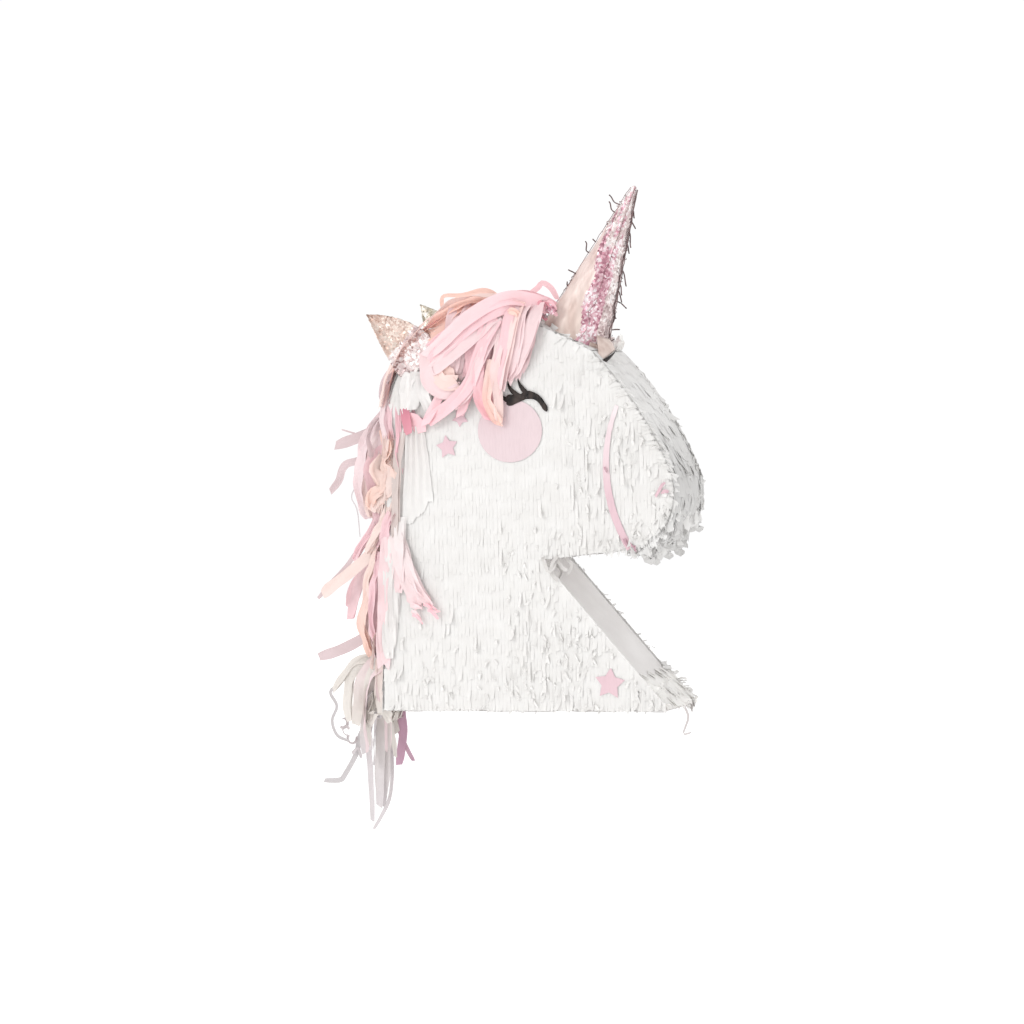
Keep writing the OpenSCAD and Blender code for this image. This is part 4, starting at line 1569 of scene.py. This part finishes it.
def make_crown_streamers(paper, glint):
    rng = random.Random(52)
    sheaf = Sheaf()
    up = (0, -0.3, 1)
    for k in range(17):
        y = -45 + k * 5.4
        tint = (PEACH, ORANGE, PINK, PEACH, ROSE)[k % 5]
        lift = rng.uniform(0, 6)
        route = [(31 - k, y, 8), (10, y - 2, 11 + lift), (-20, y - 3, 14 + lift), (-46, y - 4, 9 + lift),
                 (-70, y - 5, -6 + lift), (-95, y - 5, -22), (-115, y - 4, -48), (-128, y - 3, -86)]
        if -11 < y < 12:
            route = [(-16, y, 8), (-30, y, 15 + lift), (-52, y, 9 + lift), (-78, y, -6), (-99, y, -26),
                     (-118, y, -54), (-130, y, -90)]
        path = wander(rng, route, 2.5)
        ribbon(sheaf, rng, path, 13, tint, up, turns(rng, 20, 40), 1.6, 0.8, wave=1.5)
    for route, width, tint, face in (
        ([(-7, -35, 12), (-23, -38, 16), (-44, -42, 12), (-62, -45, -4), (-74, -48, -22)], 22, ORANGE,
         (0, -1, 0.7)),
        ([(-2, -38, 6), (-20, -43, 6), (-42, -46, -2), (-56, -48, -14), (-64, -50, -26)], 15, PEACH,
         (0, -1, 0.4)),
        ([(-12, -24, 15), (-32, -26, 17), (-54, -30, 12), (-68, -34, 2), (-78, -38, -12)], 15, PEACH,
         (0, -0.7, 1)),
        ([(-68, -20, 6), (-70, -20, 16), (-67, -20, 23), (-48, -20, 23), (-26, -20, 27), (-12, -20, 22),
          (-4, -22, 10)], 4, ORANGE, (0, -1, 0.3)),
        ([(-10, -16, 14), (-24, -16, 20), (-36, -18, 17)], 9, ORANGE, (0, -0.6, 1)),
        ([(16, -16, 9), (22, -15, 20), (31, -15, 26), (37, -15, 31), (46, -15, 25), (52, -15, 14)], 6, PINK,
         (0.2, -0.9, 0.3)),
        ([(26, -20, 12), (34, -18, 16), (44, -17, 12), (52, -17, 6)], 8, ROSE, (0, -0.8, 0.5)),
        ([(14, -12, 14), (17, -10, 20), (20, -10, 14)], 5, MAUVE, (0, -1, 0.2)),
    ):
        ribbon(sheaf, rng, route, width, tint, face, (0, rng.uniform(-15, 15)), 1.2, 0.6)
    for k in range(16):
        x, z = rng.uniform(33, 50), rng.uniform(-4, 8)
        route = [(x, -42 + k * 0.5, z), (x + 4, -43 + k * 0.5, z + 3), (x + 9, -42 + k * 0.5, z - 4)]
        tint = DEEP_ROSE if k % 3 else ROSE
        ribbon(sheaf, rng, route, rng.uniform(4, 8), tint, (0.2, -1, 0.4), turns(rng, 40, 60), 1.6,
               kind=k % 2)
    sheaf.sheet_piece("crown_streamers", [paper, glint], SHELL, "forelock_crown")


def gathered_sheet(sheaf, top, bottom, folds, depth, y):
    """A white sheet gathered at its top and spread flat towards its foot, grey at the top and fading to white
    below: painted shade in the gathers. top and bottom are its ends' corners in x and z, y how far from
    the middle its edges lie, and depth how far the folds stand off at the top."""
    across, down = 56, 30
    rings, tints = [], []
    for i in range(down + 1):
        t = i / down
        left, right = (a[0] + (b[0] - a[0]) * t**0.6 for a, b in zip(top, bottom))
        left_z, right_z = (a[1] + (b[1] - a[1]) * t for a, b in zip(top, bottom))
        ring = []
        for j in range(across + 1):
            s = j / across
            x = (1 - s) * left + s * right
            z = (1 - s) * left_z + s * right_z
            x += 5 * s * t * noise.noise(Vector((t * 6, 0, 8)))
            z += 8 * t * noise.noise(Vector((s * 5, 0, 4))) + 3 * t * noise.noise(Vector((s * 21, 0, 4)))
            turn = 2 * math.pi * folds * s + 2.2 * noise.noise(Vector((s * 3, t * 2, 1)))
            fold = depth * (1 - 0.8 * t) * (0.5 - 0.5 * math.cos(turn)) * min(1, 5 * s, 5 * (1 - s))
            ring.append(Vector((x, -(y + fold + 0.25 * noise.noise(Vector((x * 0.2, z * 0.06, 2)))), z)))
        rings.append(ring)
        # Grey at the top fading to white: painted shade in the gathers.
        tints.append(faded(GATHER_SHADE_GREY, WHITE, t))
    sheaf.strip(rings, tints)
    sheaf.lengths.append(math.dist(top[0], bottom[0]))


def make_neck_streamers(paper):
    rng = random.Random(53)
    sheaf = Sheaf()
    lay = partial(lay_streamers, sheaf, rng)
    # A rosy ribbon behind the white ones
    lay([(-104, -48, -99), (-96, -49.5, -100), (-89, -49.5, -103), (-84, -48.5, -113)], 15, ROSE, 1, 0, 0.8,
        8, fade=PINK, tip=0.3)
    lay([(-101, -50.5, -88), (-99, -51.5, -101), (-97, -50.5, -114)], 10, (0.62, 0.24, 0.31), 1, 0, 0.7, 8,
        fade=(0.78, 0.36, 0.43), tip=0.3)
    # White strips that fan out below the ear
    lay([(-94, -49, -54), (-98, -51, -68), (-99, -50, -92)], 14, MILK, 2, 2, 1.5, 25)
    lay([(-87, -49, -52), (-88, -52, -70), (-93, -51, -90)], 13, MILK, 1, 0, 1.5, 25)
    lay([(-82, -49, -56), (-79, -52, -74), (-72, -50, -94)], 13, MILK, 2, 2, 1.5, 25)
    # A broad white sheet down the neck, in soft folds, with a grey-brown strip beside it at the mane's side:
    # painted shade between the sheet and the mane
    lay([(-106, -48, -112), (-111, -49.5, -140), (-114, -49.5, -180), (-116, -48.5, -214)], 10, NECK_SHADE_TAUPE, 2, 2,
        1.2, 16)
    gathered_sheet(sheaf, ((-106, -108), (-84, -106)), ((-120, -218), (-75, -182)), 5, 3.4, 46.2)
    # Pale strips down the back edge
    for x, top, bottom, tint in ((-130, -216, -330, PALE), (-126, -206, -336, MILK),
                                 (-122, -226, -326, MILK), (-131, -244, -344, PALE),
                                 (-118, -232, -306, MILK)):
        lay([(x + 4, -47, top), (x, -49, top * 0.6 + bottom * 0.4), (x - 2, -48, bottom)], 13, tint, 2, 2.5,
            1.4, 30, 1.0)
    lay([(-110, -48, -196), (-112, -50, -232), (-115, -49, -272)], 13, MILK, 2, 3, 1.0, 15, fade=PALE)
    # Pale strips swept over the near side, with a frayed end
    lay([(-117, -48, -214), (-107, -51, -249), (-99, -51, -269), (-92, -50, -286)], 14, FAINT, 2, 2.5, 2.2,
        20, 1.5, fade=PALE)
    lay([(-113, -48, -214), (-101, -51, -249), (-89, -51, -273), (-80, -50, -285)], 12, FAINT, 2, 2.5, 2.2,
        20, 1.5, fade=PALE)
    for _ in range(8):
        x, z = rng.uniform(-104, -78), rng.uniform(-296, -282)
        lay([(x, -50, z), (x + 6, -52, z - 2), (x + 11, -50, z - rng.uniform(-2, 10))], rng.uniform(2.5, 4.5),
            rng.choice((PINK, ROSE, PALE)), 1, 0, 1.2, 50, across=3)
    sheaf.sheet_piece("neck_side_streamers", [paper], SHELL, "neck_streamers")


# ---- Mane

BEIGE = (0.80, 0.71, 0.66)
MANE_HALF = 40
LOWEST = -505
CLEAR_X = -156
CLEAR_Z = -394
MANE_TOP = (
    # The knot under the ear and the thin strips below it
    ([(-110, -30, -46), (-118, -34, -54), (-127, -36, -63), (-131, -36, -78)], 6, DULL_ROSE_AND_SHADE, 2, 1.2, 60, 1),
    ([(-110, -36, -50), (-117, -40, -62), (-116, -42, -78)], 5, DULL_ROSE_AND_SHADE, 2, 1.2, 60, 1),
    ([(-122, -40, -64), (-124, -44, -80), (-126, -46, -100), (-125, -46, -116), (-123, -44, -130)], 7, PALE,
     3, 2.0, 70, 2),
    ([(-117, -40, -66), (-120, -44, -83), (-122, -46, -100), (-120, -46, -118)], 6, PINK, 3, 2.0, 70, 2),
    # Crumpled peach down the middle
    ([(-126, -44, -108), (-123, -47, -129), (-126, -48, -142), (-120, -48, -156), (-124, -46, -170),
      (-135, -44, -178), (-143, -40, -190)], 13, ORANGE, 3, 3.0, 60, 5, PEACH),
    ([(-130, -40, -136), (-138, -44, -147), (-134, -46, -157), (-130, -46, -166), (-139, -44, -174),
      (-145, -40, -186)], 12, PEACH, 3, 3.0, 60, 5, ORANGE),
    ([(-118, -44, -110), (-121, -47, -130), (-118, -47, -150), (-124, -46, -176)], 11, PEACH, 3, 2.8, 60, 4),
    ([(-110, -44, -84), (-109, -48, -114), (-110, -48, -136), (-107, -46, -158)], 5, ROSE, 2, 1.5, 50, 1.5),
    # Pale bunch that stands out at the back
    ([(-128, -24, -86), (-144, -26, -106), (-156, -26, -122), (-162, -26, -142), (-165, -24, -164),
      (-162, -22, -186), (-158, -20, -198)], 13, PALE, 3, 2.0, 35, 2),
    ([(-130, -30, -98), (-141, -32, -118), (-146, -32, -136), (-151, -30, -158), (-153, -28, -176),
      (-151, -26, -195)], 13, PALE, 3, 2.0, 35, 2, PEACH),
    ([(-130, -34, -106), (-137, -36, -129), (-141, -34, -150), (-144, -32, -176)], 12, PALE, 2, 2.0, 30, 2),
    # Single strips that stick out; the dull rose-pink ones are painted shade on pale and lilac strips
    ([(-128, -20, -100), (-140, -20, -106), (-168, -20, -116), (-193, -20, -123)], 11, DULL_ROSE_AND_SHADE, 1, 0.6, 8, 0),
    ([(-166, -18, -113), (-176, -18, -110), (-186, -18, -107)], 1.8, DULL_ROSE_AND_SHADE, 1, 0.4, 10, 0),
    ([(-160, 0, -112), (-172, 0, -120), (-175, 0, -132), (-174, 0, -147)], 4, DULL_ROSE_AND_SHADE, 1, 0.8, 20, 0),
    ([(-156, -18, -134), (-168, -20, -139), (-180, -20, -142), (-186, -20, -148), (-190, -20, -159),
      (-200, -20, -170)], 8, DULL_ROSE_AND_SHADE, 1, 1.4, 45, 0.5),
    ([(-168, -8, -154), (-178, -8, -167), (-182, -8, -177), (-176, -8, -190), (-174, -8, -217)], 1.6, LILAC,
     1, 0.5, 20, 0),
)
MANE_MIDDLE = (
    ([(-121, -44, -176), (-129, -46, -197), (-139, -44, -211), (-154, -38, -230)], 10, PEACH, 3, 2.0, 60, 2),
    ([(-117, -46, -186), (-125, -48, -203), (-129, -47, -218), (-127, -44, -240)], 10, PINK, 3, 2.0, 60, 2),
    ([(-142, -34, -186), (-141, -36, -197), (-149, -35, -211), (-161, -32, -226), (-170, -30, -240)], 8, PINK,
     2, 1.8, 60, 2),
    # The broad strip that reaches out to the back
    ([(-128, -34, -212), (-144, -34, -226), (-157, -33, -238), (-177, -32, -253), (-197, -31, -266),
      (-208, -30, -274)], 12, PEACH, 1, 1.0, 12, 0),
    ([(-134, -30, -206), (-154, -30, -221), (-168, -29, -231), (-182, -28, -247), (-199, -28, -263),
      (-214, -28, -278)], 5, DULL_ROSE_AND_SHADE, 1, 0.8, 20, 0),
    ([(-146, -12, -226), (-162, -12, -244), (-173, -12, -258), (-181, -11, -278), (-187, -10, -300)], 13,
     PALE, 2, 1.4, 20, 1, PINK),
    ([(-150, -8, -236), (-168, -8, -250), (-182, -8, -264), (-190, -8, -288)], 8, PINK, 1, 1.2, 20, 1),
    # Twisted strips down the edge
    ([(-140, -38, -226), (-147, -40, -243), (-152, -40, -260), (-156, -38, -280), (-163, -36, -304),
      (-160, -34, -322), (-154, -32, -336)], 9, PEACH, 3, 2.2, 90, 3, ORANGE),
    ([(-136, -42, -232), (-140, -44, -250), (-145, -44, -272), (-149, -42, -300), (-146, -38, -326)], 9, PINK,
     3, 2.2, 90, 3),
    ([(-148, -34, -246), (-153, -36, -262), (-149, -36, -282), (-157, -34, -305), (-153, -32, -326),
      (-148, -30, -344)], 9, PEACH, 2, 2.2, 70, 3, PALE),
    ([(-150, -12, -300), (-166, -12, -315), (-179, -11, -323), (-200, -10, -332), (-224, -10, -339)], 11,
     DULL_ROSE_AND_SHADE, 1, 0.7, 12, 0),
)
MANE_TAIL = (
    ([(-138, -28, -336), (-158, -26, -339), (-177, -23, -343), (-191, -20, -356), (-206, -18, -372)], 9,
     CREAM, 2, 1.6, 40, 1),
    ([(-160, -26, -340), (-175, -24, -350), (-185, -22, -360), (-189, -20, -382), (-188, -18, -404)], 11,
     CREAM, 2, 1.6, 30, 1),
    ([(-146, -30, -338), (-160, -28, -349), (-169, -26, -362), (-172, -24, -382), (-177, -22, -404)], 12,
     PALE, 2, 1.6, 30, 1, CREAM),
    ([(-138, -38, -332), (-141, -40, -350), (-144, -39, -372), (-145, -36, -394)], 13, PEACH, 2, 1.6, 30, 1,
     CREAM),
    ([(-146, -34, -340), (-156, -34, -362), (-157, -32, -390)], 11, CREAM, 2, 1.6, 30, 1),
    ([(-206, -2, -368), (-217, 0, -376), (-210, 0, -390), (-216, 0, -405), (-211, 0, -420), (-198, 0, -426)],
     3.6, SHADOW, 1, 0.8, 30, 0),
    ([(-150, -12, -366), (-165, -12, -383), (-171, -12, -397), (-174, -11, -416), (-174, -10, -437)], 11,
     BEIGE, 2, 1.2, 25, 1, LILAC),
    ([(-150, -2, -376), (-160, 0, -392), (-162, 0, -414), (-164, 0, -446), (-166, 0, -493)], 10, BEIGE, 1,
     0.9, 15, 1, LILAC),
    ([(-148, 4, -374), (-156, 5, -392), (-157, 5, -415), (-159, 5, -456), (-165, 5, -493)], 9, BEIGE, 1, 0.9,
     15, 1, LILAC),
    ([(-160, 0, -382), (-172, 0, -404), (-175, 0, -433), (-174, 0, -466), (-174, 0, -508)], 6, LILAC, 1, 0.9,
     20, 1),
    ([(-150, 16, -376), (-159, 19, -398), (-161, 20, -427), (-159, 20, -452), (-163, 20, -486),
      (-174, 20, -507), (-182, 20, -519)], 4.5, LILAC, 1, 0.8, 20, 0.5),
    ([(-176, 6, -402), (-189, 8, -422), (-194, 9, -440), (-209, 10, -463), (-213, 10, -467), (-220, 10, -468),
      (-232, 10, -468)], 5.5, SHADOW, 1, 0.5, 6, 0),
    ([(-146, 34, -368), (-153, 35, -393), (-152, 35, -418), (-155, 35, -438), (-158, 35, -454)], 9.5, MAUVE,
     1, 0.6, 8, 0),
    ([(-158, 38, -400), (-157, 38, -420), (-150, 38, -437), (-143, 38, -450)], 4.5, DULL_ROSE_AND_SHADE, 1, 0.8, 15, 0,
     MAUVE),
    ([(-196, 4, -440), (-190, 5, -434), (-187, 5, -444)], 3, LILAC, 2, 0.8, 60, 0),
    ([(-134, -36, -384), (-138, -38, -392), (-136, -36, -400)], 8, CREAM, 3, 1.6, 40, 1),
)


def muted(tint):
    """A forelock tint as the mane has it, a little duller."""
    return tuple(c * k for c, k in zip(tint, (0.92, 0.97, 0.97)))


def back_x(z):
    """The x of the crown's back and the neck's back edge at a height, out to their tissue."""
    for (x0, z0), (x1, z1) in zip(BACK_LINE, BACK_LINE[1:]):
        if z1 <= z <= z0 and z0 > z1:
            return x0 + (x1 - x0) * (z0 - z) / (z0 - z1) - (SKIN_Y - PANEL_Y)
    return HEEL[0] - (SKIN_Y - PANEL_Y)


def tuft(sheaf, rng, z_high, z_low, count, tints, reach, drop, width):
    """Streamers rooted down the neck's back edge, which stand out a little and then hang."""
    for k in range(count):
        z = z_high + (z_low - z_high) * (k + rng.random()) / count
        y = rng.uniform(-MANE_HALF, MANE_HALF)
        x = back_x(z) - 1
        out = reach * rng.uniform(0.3, 1.0)
        fall = drop * rng.uniform(0.7, 1.25)
        side = rng.uniform(-6, 6)
        end_x = x - out * rng.uniform(0.5, 1.1)
        end_z = max(LOWEST if end_x < CLEAR_X else CLEAR_Z, z - fall)
        route = [(x + 2, y, z), (x - out * 0.55, y + side * 0.3, z - fall * 0.16),
                 (x - out * 0.9, y + side * 0.7, z - fall * 0.5), (end_x, y + side, end_z)]
        face = (rng.uniform(-1, -0.3), -1, 0.1)
        ribbon(sheaf, rng, route, width * rng.uniform(0.75, 1.15), muted(rng.choice(tints)), face,
               turns(rng, 60, 110), 2.0, 0.8, wave=2.5)


def lay_mane(sheaf, rng, strips):
    """The mane's placed streamers, as (route, width, tint, copies, crumple, twist, wave) and perhaps fade."""
    for route, width, tint, copies, crumple, twist, wave, *fade in strips:
        lay_streamers(sheaf, rng, route, width, muted(tint), copies, 3.5, crumple, twist, wave,
                      muted(fade[0]) if fade else None, tip=0.5, narrower=0.6)


def make_mane_top(paper):
    rng = random.Random(54)
    sheaf = Sheaf()
    tuft(sheaf, rng, -36, -190, 84, (PINK, PEACH, PALE, PEACH, PALE), 24, 58, 12)
    lay_mane(sheaf, rng, MANE_TOP)
    sheaf.sheet_piece("mane_top_streamers", [paper], SHELL, "mane_top")


def make_mane_middle(paper):
    rng = random.Random(55)
    sheaf = Sheaf()
    tuft(sheaf, rng, -190, -318, 66, (PINK, PEACH, PALE, PALE, PEACH), 20, 62, 10)
    lay_mane(sheaf, rng, MANE_MIDDLE)
    sheaf.sheet_piece("mane_middle_streamers", [paper], SHELL, "mane_middle")


def make_mane_tail(paper):
    rng = random.Random(56)
    sheaf = Sheaf()
    tuft(sheaf, rng, -322, -376, 30, (CREAM, CREAM, PALE, LILAC, CREAM), 34, 72, 10)
    lay_mane(sheaf, rng, MANE_TAIL)
    # The small tangled rings behind the heel
    for x, z, turn in ((-202, -416, 0.4), (-196, -424, 2.2), (-205, -408, 4.0)):
        ring = [(x + 4.5 * math.cos(turn + a), 2 + a, z + 5 * math.sin(turn + a))
                for a in (0, 0.9, 1.8, 2.7, 3.6, 4.5)]
        ribbon(sheaf, rng, ring, 3, (0.58, 0.53, 0.54), NEAR, (0, 60), 0.8, across=2)
    sheaf.sheet_piece("mane_tail_streamers", [paper], SHELL, "mane_tail")


# ---- The flap's tape, the bare card and the whole

TAPE_REACH = 7


def make_flap_tape(material):
    """The paper tape that hinges the filling flap, half on the panel and half on the flap."""
    sheaf = Sheaf()
    rows = []
    fold_z = WINDOW_HIGH.z
    for i in range(21):
        z = fold_z + TAPE_REACH - 2 * TAPE_REACH * i / 20
        row = []
        for j in range(31):
            x = WINDOW_LOW.x - 4 + (WINDOW_HIGH.x - WINDOW_LOW.x + 8) * j / 30
            if i > 10:
                x = min(max(x, WINDOW_LOW.x + 0.6), WINDOW_HIGH.x - 0.6)
            row.append(Vector((x, PANEL_Y + 0.35 + 0.12 * noise.noise(Vector((x * 0.1, z * 0.3, 0))), z)))
        rows.append(row)
    sheaf.strip(rows, PLAIN)
    tape = sheaf.piece("flap_tape", [material], None, ())
    above, below = (Vector((0, PANEL_Y, fold_z + step)) * MM for step in (1.5, -1.5))
    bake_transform(tape)
    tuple(above)
    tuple(below)


def dress_cad(material, *nodes):
    """Gives CAD pieces, which keep their own shapes, their material."""
    for node in nodes:
        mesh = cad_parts[node].data
        mesh.materials.clear()
        mesh.materials.append(material)


def main():
    make_camera()
    make_studio()
    white = tissue("white_tissue_paper", (1, 1, 0.25))
    streamer = tissue("streamer_tissue", (1, 1, 0.5))
    grey_card = card("grey_card")
    tape = gummed_tape("gummed_paper_tape")
    pale = cut_paper("pale_pink_sugar_paper", (0.745, 0.61, 0.635), (0.715, 0.585, 0.61))
    pink = cut_paper("pink_sugar_paper", (0.745, 0.55, 0.595), (0.71, 0.51, 0.56))
    black = dark_film("black_foil_paper", (0.012, 0.010, 0.010), (0.06, 0.045, 0.04), 0.55)
    film = dark_film("brown_tinsel_film", (0.13, 0.095, 0.095), (0.32, 0.25, 0.25), 0.4)
    # The glitter ramps run from dark to near-white: painted shade and painted glints on the flakes.
    pink_glitter = glitter("pink_glitter_film", [(0.0, (0.24, 0.09, 0.13)), (0.3, (0.48, 0.22, 0.28)),
                                                 (0.6, (0.72, 0.44, 0.50)), (0.85, (0.94, 0.86, 0.88))])
    silver_glitter = glitter("silver_glitter_film", [(0.0, (0.30, 0.20, 0.20)), (0.3, (0.58, 0.45, 0.45)),
                                                     (0.6, (0.73, 0.61, 0.60)), (0.85, (0.93, 0.88, 0.87))])
    gold_glitter = glitter("rose_gold_glitter_film", [(0.0, (0.36, 0.22, 0.17)), (0.3, (0.56, 0.40, 0.34)),
                                                      (0.6, (0.65, 0.50, 0.44)), (0.85, (0.80, 0.69, 0.62))])
    olive_glitter = glitter("olive_glitter_film", [(0.0, (0.16, 0.13, 0.09)), (0.35, (0.42, 0.37, 0.28)),
                                                   (0.7, (0.70, 0.64, 0.54)), (0.9, (0.92, 0.90, 0.85))])
    # The satin's third colour is painted shade in its creases.
    sateen = satin("peach_satin_foil", (0.83, 0.70, 0.64), (0.80, 0.65, 0.62), (0.76, 0.70, 0.685))

    dress_cad(grey_card, "near_panel", "far_panel", "fill_flap", "base_strip", "chest_strip", "jaw_strip",
              "snout_strip", "crown_strip", "back_strip", "hang_patch")
    dress_cad(tape, "corner_tapes")
    make_side_fringes(white)
    make_edge_fringes(white)
    make_cutouts(pale, pink, black)
    make_horn(sateen, pink_glitter, silver_glitter, film, black)
    make_ears(gold_glitter, silver_glitter, olive_glitter)
    make_forelock(streamer)
    make_crown_streamers(streamer, pink_glitter)
    make_neck_streamers(streamer)
    make_mane_top(streamer)
    make_mane_middle(streamer)
    make_mane_tail(streamer)
    make_throat_curls(white)
    make_flap_tape(tape)


main()
